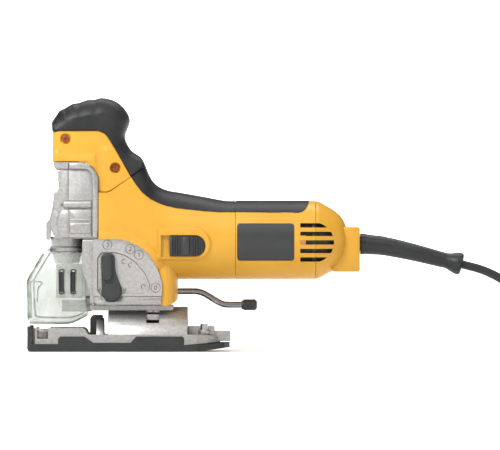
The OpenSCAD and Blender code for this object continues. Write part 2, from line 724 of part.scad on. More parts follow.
// A tube along a list of points, with a radius at each, as one closed mesh
function unit(v) = v / norm(v);
function tangent(p, i) = unit(p[min(i + 1, len(p) - 1)] - p[max(i - 1, 0)]);
module sweep(path, radii, n) {
    rings = len(path);
    points = [for (i = [0:rings - 1]) let (t = tangent(path, i), u = unit(cross([0, 0, 1], t)), v = cross(t, u))
        for (k = [0:n - 1]) path[i] + radii[i] * (cos(360 * k / n) * u + sin(360 * k / n) * v)];
    faces = concat([[for (k = [0:n - 1]) k]], [[for (k = [n - 1:-1:0]) (rings - 1) * n + k]],
        [for (i = [0:rings - 2], k = [0:n - 1]) let (m = (k + 1) % n) [i * n + k, (i + 1) * n + k,
            (i + 1) * n + m, i * n + m]]);
    polyhedron(points, faces, convexity = 6);
}

// Points between hand-placed ones, on a smooth curve through them
function spline(a, b, c, d, t) = 0.5 * ((2 * b) + (c - a) * t + (2 * a - 5 * b + 4 * c - d) * t * t
    + (3 * b - a - 3 * c + d) * t * t * t);
function smooth(p, n) = concat([for (i = [0:len(p) - 2], k = [0:n - 1])
    spline(p[max(i - 1, 0)], p[i], p[i + 1], p[min(i + 2, len(p) - 1)], k / n)], [p[len(p) - 1]]);

relief_route = [[box_end + 0.8, 0, 87], [263, 0, 85.5], [278, 0, 82.5], [294, 0, 78.7], [309, 0, 74.8],
    [319.5, 0, 72.3], [320, 0, 72.2], [327.2, 0, 70.5]];
relief_radii = [7.9, 7.6, 7.2, 6.7, 6.1, 6, 8.3, 8.3];

module strain_relief() color(BLACK) {
    sweep(relief_route, relief_radii, 24);
    rod_x(6.2, 238, box_end + 2, 0, 87.1);
}

cord_r = cord_d / 2;
coil_at = [428, 42];
coil_mean = 38.5;
lead_route = [[326.6, 0, 70.6], [345, 0, 65.5], [362, 0, 56.5], [376, 0, 43], [388, 0, 27], [399, -1, 13],
    [409.5, -2, 5.5], [419, -3, 3.6]];

module cord_lead() color(BLACK) {
    route = smooth(lead_route, 5);
    sweep(route, [for (p = route) cord_r], 10);
}

// Outer shape of the tied coil: three layers of three turns
module cord_coil() color(BLACK) translate([coil_at[0], coil_at[1], 0]) {
    reach = 1.5 * cord_d;
    bevel = 2;
    rotate_extrude($fn = fine) translate([coil_mean, reach]) polygon([
        for (a = [0:90:270], b = [-1, 1]) let (p = [reach, b * (reach - bevel)])
            [p[0] * cos(a) - p[1] * sin(a), p[0] * sin(a) + p[1] * cos(a)]]);
}

// The plug lies on the coil, where the last turn of the cord runs into it
plug_at = [424, 12];
plug_z = 34.2;
plug_lie = 3 * cord_d;
module plug() color(BLACK) {
    rod_x(5.2, plug_at[0] - 12, plug_at[0], plug_at[1], plug_z - 5);
    box(plug_at[0], plug_at[0] + 34, plug_at[1] - 14, plug_at[1] + 14, plug_lie, plug_lie + 24);
    for (s = [-1, 1]) rod_x(2.4, plug_at[0] + 34, plug_at[0] + 53, plug_at[1] + s * 9.5, plug_z);
}

head_shell_left();
head_shell_right();
body_shell_left();
body_shell_right();
motor_housing();
end_cap();
label_plate();
head_grip();
spine_grip_front();
spine_grip_rear();
shell_screws();
gear_case();
gear_plate();
lower_casting();
selector_plate();
finger_guard();
tilt_seat();
upper_bush();
lower_bush();
crank_shaft();
yoke();
front_bridge();
rear_bridge();
field_stator();
brush_holders();
front_bearing();
rear_bearing();
pinion_bush();
switch_module();
electronics_module();
cord_clamp();
clamp_plate();
plunger();
blade_clamp();
crank_gear();
armature();
armature_core();
commutator();
fan();
orbit_selector();
orbit_fork();
fork_pin();
guide_roller();
blade_lever();
lever_pin();
dust_guard();
guard_pin();
switch_slider();
switch_link();
bevel_lever();
bevel_lever_cap();
shoe_casting();
sole_cover();
dust_spout();
spout_screws();
strain_relief();
cord_lead();
cord_coil();
plug();
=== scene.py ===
"""Corded barrel-grip jigsaw: the looks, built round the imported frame. Sizes are in millimetres."""
import math

import bmesh
import bpy
import numpy as np
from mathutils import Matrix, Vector


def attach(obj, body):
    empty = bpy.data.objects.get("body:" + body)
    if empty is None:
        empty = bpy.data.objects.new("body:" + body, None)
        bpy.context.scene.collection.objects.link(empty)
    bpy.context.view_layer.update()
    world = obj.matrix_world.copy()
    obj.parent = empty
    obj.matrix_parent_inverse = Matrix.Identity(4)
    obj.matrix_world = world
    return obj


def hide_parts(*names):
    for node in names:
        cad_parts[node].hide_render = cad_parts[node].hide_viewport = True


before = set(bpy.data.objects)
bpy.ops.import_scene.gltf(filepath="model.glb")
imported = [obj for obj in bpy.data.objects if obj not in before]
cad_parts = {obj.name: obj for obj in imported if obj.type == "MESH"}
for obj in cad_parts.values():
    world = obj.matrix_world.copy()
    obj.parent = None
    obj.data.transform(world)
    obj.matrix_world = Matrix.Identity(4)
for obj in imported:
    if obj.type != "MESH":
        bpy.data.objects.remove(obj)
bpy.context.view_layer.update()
MM = 0.001

# ---- driving sizes, the same as the design's ----
BARREL_R = 31.8
MOTOR_Z = 90.3
SEAM_X = 142.9
HEAD_HALF = 26.0
CASE_HALF = 26.0
CASTING_HALF = 25.0
PLATE_T = 1.5
SELECTOR_HUB = (42.8, 48.6)
CORD_D = 7.0
COIL_AT = (428.0, 42.0)
BLADE_X = 5.9
WALL = 2.6
# Half the length along Y of a cutter that goes right through
BEYOND = 45


# ---- material nodes ----

def material(name, color, rough=0.5, metal=0.0, coat=0.0, spec=0.5, alpha=None, ior=None):
    """A principled material with its constants on the shader's own sockets."""
    mat = bpy.data.materials.new(name)
    mat.use_nodes = True
    shader = mat.node_tree.nodes["Principled BSDF"]
    shader.inputs["Base Color"].default_value = (*color, 1)
    shader.inputs["Roughness"].default_value = rough
    shader.inputs["Metallic"].default_value = metal
    shader.inputs["Coat Weight"].default_value = coat
    shader.inputs["Coat Roughness"].default_value = 0.12
    shader.inputs["Specular IOR Level"].default_value = spec
    if alpha is not None:
        shader.inputs["Alpha"].default_value = alpha
    if ior is not None:
        shader.inputs["IOR"].default_value = ior
    mat.diffuse_color = (*color, 1)
    return mat


def add(mat, kind, **inputs):
    """A new node in mat, with its inputs set by name."""
    node = mat.node_tree.nodes.new(kind)
    for key, value in inputs.items():
        node.inputs[key.replace("_", " ")].default_value = value
    return node


def link(mat, a, out, b, into):
    mat.node_tree.links.new(a.outputs[out], b.inputs[into])


def noise(mat, size_mm, detail=3.0, stretch=(1, 1, 1)):
    """Noise in object space, whose blobs are about size_mm across."""
    coords = mat.node_tree.nodes.new("ShaderNodeTexCoord")
    place = add(mat, "ShaderNodeMapping", Scale=stretch)
    tex = add(mat, "ShaderNodeTexNoise", Scale=1 / (size_mm * MM), Detail=detail)
    link(mat, coords, "Object", place, "Vector")
    link(mat, place, "Vector", tex, "Vector")
    return tex


def grain(mat, size_mm, strength, depth_mm=0.1, stretch=(1, 1, 1)):
    """Fine bump from noise."""
    tex = noise(mat, size_mm, 2.0, stretch)
    bump = add(mat, "ShaderNodeBump", Strength=strength, Distance=depth_mm * MM)
    link(mat, tex, "Fac", bump, "Height")
    link(mat, bump, "Normal", mat.node_tree.nodes["Principled BSDF"], "Normal")


def vary(mat, socket, low, high, size_mm, detail=3.0):
    """Lets a number or a colour wander between low and high over the surface."""
    tex = noise(mat, size_mm, detail)
    ramp = mat.node_tree.nodes.new("ShaderNodeValToRGB")
    as_color = [(v, v, v, 1) if isinstance(v, float) else (*v, 1) for v in (low, high)]
    ramp.color_ramp.elements[0].position = 0.35
    ramp.color_ramp.elements[1].position = 0.65
    ramp.color_ramp.elements[0].color = as_color[0]
    ramp.color_ramp.elements[1].color = as_color[1]
    link(mat, tex, "Fac", ramp, "Fac")
    link(mat, ramp, "Color", mat.node_tree.nodes["Principled BSDF"], socket)


def look(name, color, wander=None, bumps=None, **shine):
    """A material whose colour or roughness wanders over the surface, with a fine grain on it.

    wander holds vary's socket, range and blob size; bumps holds grain's size, strength and depth.
    """
    mat = material(name, color, **shine)
    if wander:
        vary(mat, *wander)
    if bumps:
        grain(mat, *bumps)
    return mat


ALONG_X = (0.25, 1, 1)
BRUSHED = (0.2, 1, 1)
FINE_GRAIN = (0.5, 0.15, 0.05)
YELLOW = look("yellow_plastic", (0.62, 0.315, 0.028),
              ("Base Color", (0.6, 0.3, 0.025), (0.65, 0.335, 0.032), 35),
              (0.55, 0.12, 0.05), rough=0.36, spec=0.36)
GRIP = look("soft_grip", (0.015, 0.0155, 0.0155),
            ("Base Color", (0.012, 0.0125, 0.0125), (0.018, 0.0185, 0.0185), 14),
            (0.35, 0.35, 0.06), rough=0.46, spec=0.32)
BLACK = look("black_plastic", (0.024, 0.025, 0.026), ("Roughness", 0.4, 0.52, 9),
             (0.4, 0.2, 0.05), rough=0.45)
SOLE = look("sole_plastic", (0.024, 0.026, 0.026),
            ("Base Color", (0.015, 0.0165, 0.0165), (0.022, 0.0245, 0.0245), 18),
            (0.6, 0.25, 0.06, ALONG_X), rough=0.5)
CAST = look("cast_alloy", (0.44, 0.43, 0.415),
            ("Base Color", (0.34, 0.333, 0.322), (0.43, 0.421, 0.407), 2, 6.0),
            (0.55, 0.45, 0.1), rough=0.42, metal=0.8)
ALLOY = look("smooth_alloy", (0.48, 0.47, 0.455),
             ("Base Color", (0.38, 0.372, 0.36), (0.48, 0.47, 0.457), 1.6, 6.0),
             (0.5, 0.4, 0.08), rough=0.4, metal=0.8)
STEEL = look("machined_steel", (0.42, 0.41, 0.4), ("Roughness", 0.24, 0.4, 4),
             (0.4, 0.15, 0.04, BRUSHED), rough=0.3, metal=1.0)
DARK = look("dark_steel", (0.2, 0.18, 0.16), ("Base Color", (0.14, 0.125, 0.11), (0.27, 0.25, 0.22), 4),
            (0.4, 0.2, 0.05), rough=0.38, metal=0.9)
CHROME = look("chrome", (0.22, 0.22, 0.225), ("Roughness", 0.07, 0.13, 12), rough=0.12, metal=1.0)
CLEAR = look("clear_plastic", (0.9, 0.95, 0.93), ("Base Color", (0.5, 0.56, 0.46), (0.8, 0.85, 0.8), 16),
             rough=0.05, coat=0.6, alpha=0.3, ior=1.49)
# The guard's thick edges, which look greenish and less clear
RIM = look("guard_rim", (0.2, 0.22, 0.12), ("Base Color", (0.08, 0.09, 0.05), (0.42, 0.45, 0.34), 6),
           rough=0.1, alpha=0.85)
SCREW = look("red_screw", (0.3, 0.07, 0.02), bumps=(0.5, 0.2, 0.05), rough=0.4, metal=0.3)
CORD = look("cord_rubber", (0.016, 0.017, 0.018),
            ("Base Color", (0.009, 0.01, 0.011), (0.014, 0.0155, 0.0165), 12),
            FINE_GRAIN, rough=0.42, spec=0.45)
BRONZE = look("bronze", (0.5, 0.33, 0.14), bumps=FINE_GRAIN, rough=0.35, metal=1.0)
COPPER = look("copper", (0.62, 0.27, 0.13), bumps=FINE_GRAIN, rough=0.35, metal=1.0)
BOARD = look("circuit_board", (0.02, 0.12, 0.06),
             ("Base Color", (0.016, 0.1, 0.05), (0.03, 0.15, 0.08), 3), (0.8, 0.2, 0.05), rough=0.3)


# ---- mesh helpers ----

def new_object(name, data):
    obj = bpy.data.objects.new(name, data)
    bpy.context.collection.objects.link(obj)
    return obj


def full_turn(n):
    """n angles round a circle."""
    return np.linspace(0, 2 * math.pi, n, endpoint=False)


def round_arc(x, z, r, start, end, n):
    """n points on a circle, from one angle to the other in radians."""
    return [(x + r * math.cos(a), z + r * math.sin(a)) for a in np.linspace(start, end, n)]


def slab_faces(n):
    """Faces of a solid between two outlines of n points each."""
    walls = [[i, (i + 1) % n, n + (i + 1) % n, n + i] for i in range(n)]
    return [list(range(n)), list(range(2 * n - 1, n - 1, -1))] + walls


def wall_faces(rings, sides, closed=False):
    """Faces between rings of points that follow each other; closed also joins the last to the first."""
    faces = []
    for i in range(rings if closed else rings - 1):
        low, high = i * sides, (i + 1) % rings * sides
        faces += [[low + k, low + (k + 1) % sides, high + (k + 1) % sides, high + k] for k in range(sides)]
    return faces


def tube_faces(rings, sides):
    """Faces of a tube whose rings of points follow each other, with both ends closed."""
    ends = [list(range(sides)), [rings * sides - 1 - k for k in range(sides)]]
    return wall_faces(rings, sides) + ends


def piece(name, verts, faces, mat, smooth=32):
    """A mesh from points in millimetres. It rides on no body yet."""
    mesh = bpy.data.meshes.new(name)
    mesh.from_pydata([Vector(v) * MM for v in verts], [], faces)
    mesh.validate()
    obj = new_object(name, mesh)
    obj.data.materials.append(mat)
    finish_mesh(obj, smooth)
    return obj


def finish_mesh(obj, smooth):
    """Outward normals, and smooth shading up to an edge angle in degrees."""
    bm = bmesh.new()
    bm.from_mesh(obj.data)
    bmesh.ops.recalc_face_normals(bm, faces=bm.faces)
    bm.to_mesh(obj.data)
    bm.free()
    obj.data.shade_smooth()
    obj.data.set_sharp_from_angle(angle=math.radians(smooth))


def settle(obj, body, replaces):
    """Makes obj ride on a body and stand for the frame's nodes it replaces."""
    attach(obj, body)
    if replaces:
        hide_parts(*replaces)


def soften(obj, width_mm, segments, angle):
    """Rounded edges that catch the light."""
    mod = obj.modifiers.new("soften", "BEVEL")
    mod.width = width_mm * MM
    mod.segments = segments
    mod.limit_method = "ANGLE"
    mod.angle_limit = math.radians(angle)
    mod.harden_normals = True


def apply_modifiers(obj):
    depsgraph = bpy.context.evaluated_depsgraph_get()
    baked = bpy.data.meshes.new_from_object(obj.evaluated_get(depsgraph))
    obj.modifiers.clear()
    obj.data = baked


def carve(obj, cutters, operation="DIFFERENCE"):
    """Cuts, joins or intersects obj with each cutter, and removes the cutters."""
    for cutter in cutters:
        mod = obj.modifiers.new("carve", "BOOLEAN")
        mod.operation = operation
        mod.solver = "EXACT"
        mod.object = cutter
        bpy.context.view_layer.update()
        look = obj.data.materials[0]
        apply_modifiers(obj)
        obj.data.materials.clear()
        obj.data.materials.append(look)
        for face in obj.data.polygons:
            face.material_index = 0
        bpy.data.objects.remove(cutter)


def prism(outline, y0, y1, name="cutter", mat=None):
    """An outline in X and Z, pushed through from y0 to y1. It has no body yet."""
    verts = [(x, y, z) for y in (y0, y1) for x, z in outline]
    return piece(name, verts, slab_faces(len(outline)), mat or YELLOW)


def tube_y(x, z, r, y0, y1, n):
    """A round bar along Y."""
    return prism([(x + r * math.cos(a), z + r * math.sin(a)) for a in full_turn(n)], y0, y1)


def smooth_path(points, steps):
    """Points on a smooth curve through the given ones, with so many steps between each two."""
    pts = [np.array(p, float) for p in points]
    n = len(pts)
    out = []
    for i in range(n - 1):
        a, b, c, d = pts[max(i - 1, 0)], pts[i], pts[i + 1], pts[min(i + 2, n - 1)]
        for k in range(steps):
            t = k / steps
            out.append(0.5 * (2 * b + (c - a) * t + (2 * a - 5 * b + 4 * c - d) * t ** 2
                              + (3 * b - a - 3 * c + d) * t ** 3))
    out.append(pts[-1])
    return [tuple(p) for p in out]


def sweep(path, radii, sides):
    """Points and faces of a closed tube along path, with a radius at each point."""
    p = np.array(path, float)
    tangents = np.gradient(p, axis=0)
    tangents /= np.linalg.norm(tangents, axis=1)[:, None]
    verts = []
    for at, t, r in zip(p, tangents, radii):
        u = np.cross((0, 0, 1), t)
        u = u / np.linalg.norm(u) if np.linalg.norm(u) > 0.05 else np.array((0.0, 1.0, 0.0))
        v = np.cross(t, u)
        for a in full_turn(sides):
            verts.append(tuple(at + r * (math.cos(a) * u + math.sin(a) * v)))
    return verts, tube_faces(len(path), sides)


def wire(path, radius, sides):
    """A closed tube with the same radius all along its path."""
    return sweep(path, [radius] * len(path), sides)


def rounded_bar(ends, radius, edge, sides=24):
    """A straight round bar between two points, with rounded ends."""
    a, b = (np.array(p, float) for p in ends)
    way = (b - a) / np.linalg.norm(b - a)
    steps = [(0, 0.35), (0.12, 0.62), (0.35, 0.86), (0.65, 0.96), (1, 1)]
    path = [a + way * edge * t for t, _ in steps] + [b - way * edge * t for t, _ in steps[::-1]]
    radii = [radius - edge * (1 - s) for _, s in steps + steps[::-1]]
    return sweep(path, radii, sides)


def join_meshes(name, parts, mat, smooth=35):
    """One piece from several closed meshes, given as points and faces."""
    verts, faces = [], []
    for part_verts, part_faces in parts:
        n = len(verts)
        verts += list(part_verts)
        faces += [[n + i for i in face] for face in part_faces]
    return piece(name, verts, faces, mat, smooth)


def plate_xz(name, outline, y0, y1, mat, edge=0.5, angle=40):
    """A plate with its outline in X and Z and rounded edges, before it gets a body."""
    obj = prism(outline, y0, y1, name, mat)
    soften(obj, edge, 3, angle)
    apply_modifiers(obj)
    return obj


def box_mesh(x0, x1, y0, y1, z0, z1):
    return prism([(x0, z0), (x1, z0), (x1, z1), (x0, z1)], y0, y1, "box")


def round_corners(points, radius, steps=5):
    """An outline whose corners are rounded; radius is one number, or one for each point."""
    n = len(points)
    radii = [radius] * n if isinstance(radius, (int, float)) else radius
    out = []
    for i, r in enumerate(radii):
        p, q, s = (np.array(points[(i + k) % n], float) for k in (-1, 0, 1))
        if r <= 0:
            out.append(tuple(q))
            continue
        a, b = (p - q) / np.linalg.norm(p - q), (s - q) / np.linalg.norm(s - q)
        half = 0.5 * math.acos(np.clip(np.dot(a, b), -0.999, 0.999))
        reach = min(r / math.tan(half), 0.49 * np.linalg.norm(p - q), 0.49 * np.linalg.norm(s - q))
        start, end = q + a * reach, q + b * reach
        for k in range(steps + 1):
            t = k / steps
            out.append(tuple((1 - t) ** 2 * start + 2 * t * (1 - t) * q + t ** 2 * end))
    return out


def merge(name, parts, mat):
    """One piece from several closed parts that stand in each other."""
    bm = bmesh.new()
    for part in parts:
        bm.from_mesh(part.data)
        bpy.data.objects.remove(part)
    mesh = bpy.data.meshes.new(name)
    bm.to_mesh(mesh)
    bm.free()
    mesh.materials.clear()
    mesh.materials.append(mat)
    obj = new_object(name, mesh)
    finish_mesh(obj, 35)
    return obj


def span(side, inner, outer):
    """Low and high Y of something between two distances from the mid-plane, on one side."""
    return tuple(sorted((side * inner, side * outer)))


def turned_x(profile, sides):
    """Points turned about the motor's axis; profile is radius and X."""
    return [(x, r * math.cos(a), MOTOR_Z + r * math.sin(a)) for r, x in profile for a in full_turn(sides)]


def turned_z(profile, sides):
    """Points turned about the blade's axis; profile is radius and Z."""
    return [(BLADE_X + r * math.cos(a), r * math.sin(a), z) for r, z in profile for a in full_turn(sides)]


def lathe_y(profile, x, z, sides):
    """Points and faces of a closed shape turned about an axis along Y; profile is radius and Y."""
    verts = [(x + r * math.cos(a), y, z + r * math.sin(a)) for r, y in profile for a in full_turn(sides)]
    return verts, tube_faces(len(profile), sides)


def lathe_x(name, profile, sides=128):
    """A closed shape turned about the motor's axis."""
    return piece(name, turned_x(profile, sides), tube_faces(len(profile), sides), YELLOW)


def ring_x(name, wall, mat=None, sides=160):
    """A tube about the motor's axis; its wall's section is a closed loop of radius and X."""
    return piece(name, turned_x(wall, sides), wall_faces(len(wall), sides, True), mat or YELLOW)


def ring_z(name, wall):
    """A cast tube about the blade's axis; its wall's section is a closed loop of radius and Z."""
    sides = 56
    return piece(name, turned_z(wall, sides), wall_faces(len(wall), sides, True), CAST)


# ---- cord: one smooth curve from the strain relief to the plug ----

LEAD_ROUTE = [(327.2, 0, 70.5), (345, 0, 65.5), (362, 0, 56.5), (376, 0, 43), (388, 0, 27), (399, -1, 13),
              (409.5, -2, 5.5), (419, -3, 3.6)]
TURN_POINTS = 24
# Each step of the coil: where it happens, in turns, and the radius and height that it leads to
STEP_SPAN = 0.2
COIL_START = (45.5, 3.6)
COIL_STEPS = [(0.8, 38.5, 3.6), (1.8, 31.5, 3.6), (2.6, 31.5, 10.6), (3.4, 38.5, 10.6), (4.4, 45.5, 10.6),
              (5.2, 45.5, 17.6), (6.0, 38.5, 17.6), (7.0, 31.5, 17.6)]
# The last turn rises over the others and moves forward, to the plug that lies on the coil
COIL_END = 8.03
PLUG_AT = (424.0, 12.0)
PLUG_R, PLUG_Z = 30.0, 29.2
LAST_CENTRE = 412.0


def soft_step(v, low, high):
    t = np.clip((v - low) / (high - low), 0, 1)
    return t * t * (3 - 2 * t)


def coil_point(turns):
    r, z = COIL_START
    for at, next_r, next_z in COIL_STEPS:
        t = soft_step(turns, at, at + STEP_SPAN)
        r += (next_r - r) * t
        z += (next_z - z) * t
    z += 7.2 * soft_step(turns, 7.22, 7.45) + 4.4 * soft_step(turns, 7.5, COIL_END)
    t = soft_step(turns, 7.25, COIL_END)
    r += (PLUG_R - r) * t
    x = COIL_AT[0] + (LAST_CENTRE - COIL_AT[0]) * t
    a = math.radians(-101.3) + 2 * math.pi * turns
    return (x + r * math.cos(a), COIL_AT[1] + r * math.sin(a), z)


def cord():
    route = smooth_path(LEAD_ROUTE, 3)[:-1]
    route += [coil_point(k / TURN_POINTS) for k in range(int(COIL_END * TURN_POINTS) + 1)]
    route.append((PLUG_AT[0] - 5, PLUG_AT[1], PLUG_Z))
    curve = bpy.data.curves.new("cord", "CURVE")
    curve.dimensions = "3D"
    curve.bevel_depth = CORD_D / 2 * MM
    curve.bevel_resolution = 5
    curve.use_fill_caps = True
    spline = curve.splines.new("BEZIER")
    spline.bezier_points.add(len(route) - 1)
    for point, at in zip(spline.bezier_points, route):
        point.co = Vector(at) * MM
        point.handle_left_type = point.handle_right_type = "AUTO"
    spline.resolution_u = 3
    curve.materials.append(CORD)
    obj = new_object("cord", curve)
    settle(obj, "housing", ["cord_lead", "cord_coil"])
    plug = plug_piece()


def plug_piece():
    """Two-pin plug: an oval body with finger grooves, a ringed neck and two round pins."""
    x0, y0 = PLUG_AT
    z0 = 33.2
    stations = [(0, 7.5, 6.8), (1.0, 9.5, 8.6), (5, 12, 10.4), (11, 13.3, 11.3), (20, 13.6, 11.5),
                (28, 13.8, 11.7), (32, 13.8, 11.7), (33.4, 13.0, 11.0), (34, 12.0, 10.0)]
    fine = smooth_path(stations, 6)
    verts = []
    sides = 48
    for x, w, h in fine:
        groove = 0.9 * (0.5 + 0.5 * math.cos((x - 9) * math.pi / 2)) if 8 < x < 20 else 0
        for a in full_turn(sides):
            c, s = math.cos(a), math.sin(a)
            dent = groove * abs(c) ** 3
            verts.append((x0 + x, y0 + (w - dent) * math.copysign(abs(c) ** 0.7, c),
                          z0 + h * math.copysign(abs(s) ** 0.7, s)))
    faces = tube_faces(len(fine), sides)
    neck = [(x0 - 12 + k * 0.5, y0, PLUG_Z) for k in range(30)]
    neck_r = [4.4 + 0.06 * k ** 0.9 - (0.7 if k % 6 in (2, 3) and k < 24 else 0) for k in range(30)]
    body = join_meshes("plug", [(verts, faces), sweep(neck, neck_r, 24)], CORD)
    settle(body, "housing", ["plug"])
    soften(body, 0.4, 2, 40)
    pins = [rounded_bar([(x0 + 33, y0 + s * 9.5, z0 + 1), (x0 + 53, y0 + s * 9.5, z0 + 1)], 2.4, 1.2)
            for s in (-1, 1)]
    pin = join_meshes("plug_pins", pins, CHROME)
    settle(pin, "housing", [])
    return body


def strain_relief():
    """Tapered rubber sleeve with shallow rings and a collar at its end."""
    route = smooth_path([(236, 0, 87.1), (245.5, 0, 87.1), (254, 0, 86.4), (263, 0, 85.5), (278, 0, 82.5),
                         (294, 0, 78.7), (309, 0, 74.8), (319.5, 0, 72.3)], 8)
    radii = [8.2 - 2.2 * (x - 245) / 75 if x > 246.5 else 6.1 for x, _, _ in route]
    collar = [(313, 0, 73.9), (316.5, 0, 73.05), (319.5, 0, 72.3), (322, 0, 71.7), (324, 0, 71.2),
              (326, 0, 70.75), (327.0, 0, 70.5), (327.4, 0, 70.4)]
    collar_r = [6.0, 6.7, 7.7, 8.6, 9.0, 8.8, 7.6, 4.2]
    flange = [(244.3, 0, 87.1), (245.0, 0, 87.1), (247.5, 0, 87.0), (248.6, 0, 86.9)]
    flange_r = [8.2, 8.6, 8.5, 8.2]
    obj = join_meshes("strain_relief", [sweep(route, radii, 32), sweep(collar, collar_r, 32),
                                        sweep(flange, flange_r, 32)], CORD, smooth=40)
    settle(obj, "housing", ["strain_relief"])


cord()
strain_relief()


# ---- outlines of the housing, in X and Z ----

QUADRANT = [(32, 91.2), (48.3, 91.2), (56.6, 89.2), (63, 86.4), (68.4, 82.9), (72.5, 79), (75.8, 74),
            (79, 68.5), (81.2, 63.2), (83.7, 55.3), (83.2, 36.9)]
SPINE_LOW = [(58.3, 141.2), (62.6, 134.9), (67.4, 128.8), (73.8, 123.8), (80, 120.5), (86.2, 118.2),
             (95, 116.2), (104.8, 115.1), (117, 113.8), (129.6, 112.9), (SEAM_X, 112.7)]
SPINE_TOP = [(69.7, 150.2), (71.3, 146.1), (75, 138.9), (80, 134), (87.5, 130.6), (98.6, 128.7),
             (117.2, 125.4), (133.3, 122.4), (SEAM_X, 122)]
HEAD_TOP = [(-5.6, 178.9), (-6.1, 184.8), (-5.2, 187.2), (-2.4, 191.6), (0.2, 195.2), (4.6, 197.4),
            (10.2, 200.6), (16, 201.7), (22.4, 203.9), (28.4, 204.3), (34.6, 205.6), (43.8, 203.6),
            (50.9, 198.8), (55.5, 192.3), (56.9, 187.2), (55.5, 182.1), (53.4, 176.8), (53.3, 172.4),
            (55, 167.7), (58.7, 162.6), (65.4, 157.9), (67.6, 154.8), (69.7, 150.2)]
HEAD_LOW = [(31.7, 178.9), (36, 177.3), (39, 174.6), (42.8, 168.4), (50.5, 154.9), (58.3, 141.2)]
HEAD_SHELL = ([(-5.3, 178.9), (-5.3, 153.9), (15.6, 153.9), (20.6, 153.1), (24.6, 151.3), (27.5, 148.9),
               (30.3, 145.4), (32.1, 141.2), (32.1, 129.3), (39, 129.3), (42.4, 130.7), (45.3, 132.7)]
              + HEAD_LOW[::-1])
SCREWS = [(5.3, 172.4), (45.5, 148.8)]


def grow(outline, by):
    """An outline moved outwards by a distance; a negative one shrinks it."""
    p = np.array(outline, float)
    area = 0.5 * np.sum(p[:, 0] * np.roll(p[:, 1], -1) - np.roll(p[:, 0], -1) * p[:, 1])
    edge = np.roll(p, -1, 0) - p
    normal = np.stack([edge[:, 1], -edge[:, 0]], 1) * np.sign(area)
    normal /= np.linalg.norm(normal, axis=1)[:, None]
    corner = normal + np.roll(normal, 1, 0)
    corner /= np.maximum(np.sum(corner * normal, 1), 0.35)[:, None]
    return [tuple(q) for q in p + by * corner]


def distance_to(points, line, closed=True):
    """Distance of each point to a line of points, and how far along the line the nearest place is."""
    p = np.array(points, float)[:, None]
    a = np.array(line, float)
    b = np.roll(a, -1, 0) if closed else a[1:]
    a = a if closed else a[:-1]
    ab = b - a
    t = np.clip(np.sum((p - a) * ab, 2) / np.maximum(np.sum(ab * ab, 1), 1e-9), 0, 1)
    gap = np.linalg.norm(p - (a + t[..., None] * ab), axis=2)
    best = gap.argmin(1)
    rows = np.arange(len(best))
    return gap[rows, best], best + t[rows, best], gap


def pillow(name, outline, half, rounding, crown, side, mat, bump, cell=2.2):
    """One half of a moulded shell: a wall round the outline and a crowned face, rounded into each other.

    rounding gives the edge radius for each point of the outline.
    """
    from mathutils.geometry import delaunay_2d_cdt
    loop = np.array(outline, float)
    radii = np.array(rounding, float)
    points = [tuple(p) for p in loop]
    # Rings inside the outline, closer together where the edge curves most
    for share in (0.03, 0.1, 0.22, 0.38, 0.58, 0.8, 1.0):
        ring = grow(outline, -1.0)
        inward = np.array(ring) - loop
        extra = loop + inward * (np.maximum(radii, 0.8) * share)[:, None]
        gap, _, _ = distance_to(extra, outline)
        points += [tuple(q) for q, g, r in zip(extra, gap, radii) if g > 0.85 * share * max(r, 0.8)]
    low, high = loop.min(0), loop.max(0)
    grid = [(x, z) for x in np.arange(low[0] + cell / 2, high[0], cell)
            for z in np.arange(low[1] + cell / 2, high[1], cell)]
    gap, _, _ = distance_to(grid, outline)
    points += [p for p, g in zip(grid, gap) if g > 0.6 * cell]
    edges = [(i, (i + 1) % len(loop)) for i in range(len(loop))]
    flat, _, tris, _, _, _ = delaunay_2d_cdt([Vector(p) for p in points], edges, [], 1, 1e-5)
    xz = np.array([tuple(p) for p in flat])
    _, where, gaps = distance_to(xz, outline)
    nearby = np.concatenate([radii, radii[:1]])
    edge_r = np.array([0.5 * (nearby[i] + nearby[i + 1]) for i in range(len(loop))])
    inside = np.clip(edge_r - gaps, 0, None)
    drop = edge_r - np.sqrt(np.maximum(edge_r ** 2 - inside ** 2, 0))
    deepest = gaps.min(1)
    height = half - drop.max(1) - crown * np.exp(-(deepest / 14) ** 2)
    height += bump(xz, where)
    n = len(xz)
    verts = [(x, side * h, z) for (x, z), h in zip(xz, height)]
    back = [(x, side * 0.08, z) for x, z in xz]
    faces = [list(t) for t in tris] + [[n + i for i in t[::-1]] for t in tris]
    count = {}
    for t in tris:
        for a, b in zip(t, t[1:] + t[:1]):
            count[(a, b)] = count.get((a, b), 0) + 1
    faces += [[b, a, n + a, n + b] for (a, b) in count if (b, a) not in count]
    return piece(name, verts + back, faces, mat)


def head_shell(side, name):
    """Yellow shell of the head: its front edge is well rounded, its seams are tight."""
    outline = smooth_keep(HEAD_SHELL)
    rounding = [5.0 if x < -5 and z > 154 else 0.7 for x, z in outline]
    obj = pillow(name, outline, HEAD_HALF, rounding, 0.8, side, YELLOW, head_swell)
    hollow = [(1.5, 157), (28, 157), (36, 146), (38, 135), (50, 142), (38, 166), (31, 177), (1.5, 177)]
    cutters = [prism(hollow, side * 22, 0)]
    if side < 0:
        cutters += [tube_y(x, z, 4.5, -30, -19, 36) for x, z in SCREWS]
    carve(obj, cutters)
    finish_mesh(obj, 28)
    soften(obj, 0.35, 2, 40)
    settle(obj, "housing", [name])


def smooth_keep(outline, closed=True):
    """Splits long edges of an outline, so that straight runs carry enough points."""
    step = 3.0
    out = []
    for a, b in zip(outline, outline[1:] + (outline[:1] if closed else [])):
        parts = max(1, round(math.dist(a, b) / step))
        out += [(a[0] + (b[0] - a[0]) * k / parts, a[1] + (b[1] - a[1]) * k / parts) for k in range(parts)]
    return out if closed else out + [outline[-1]]


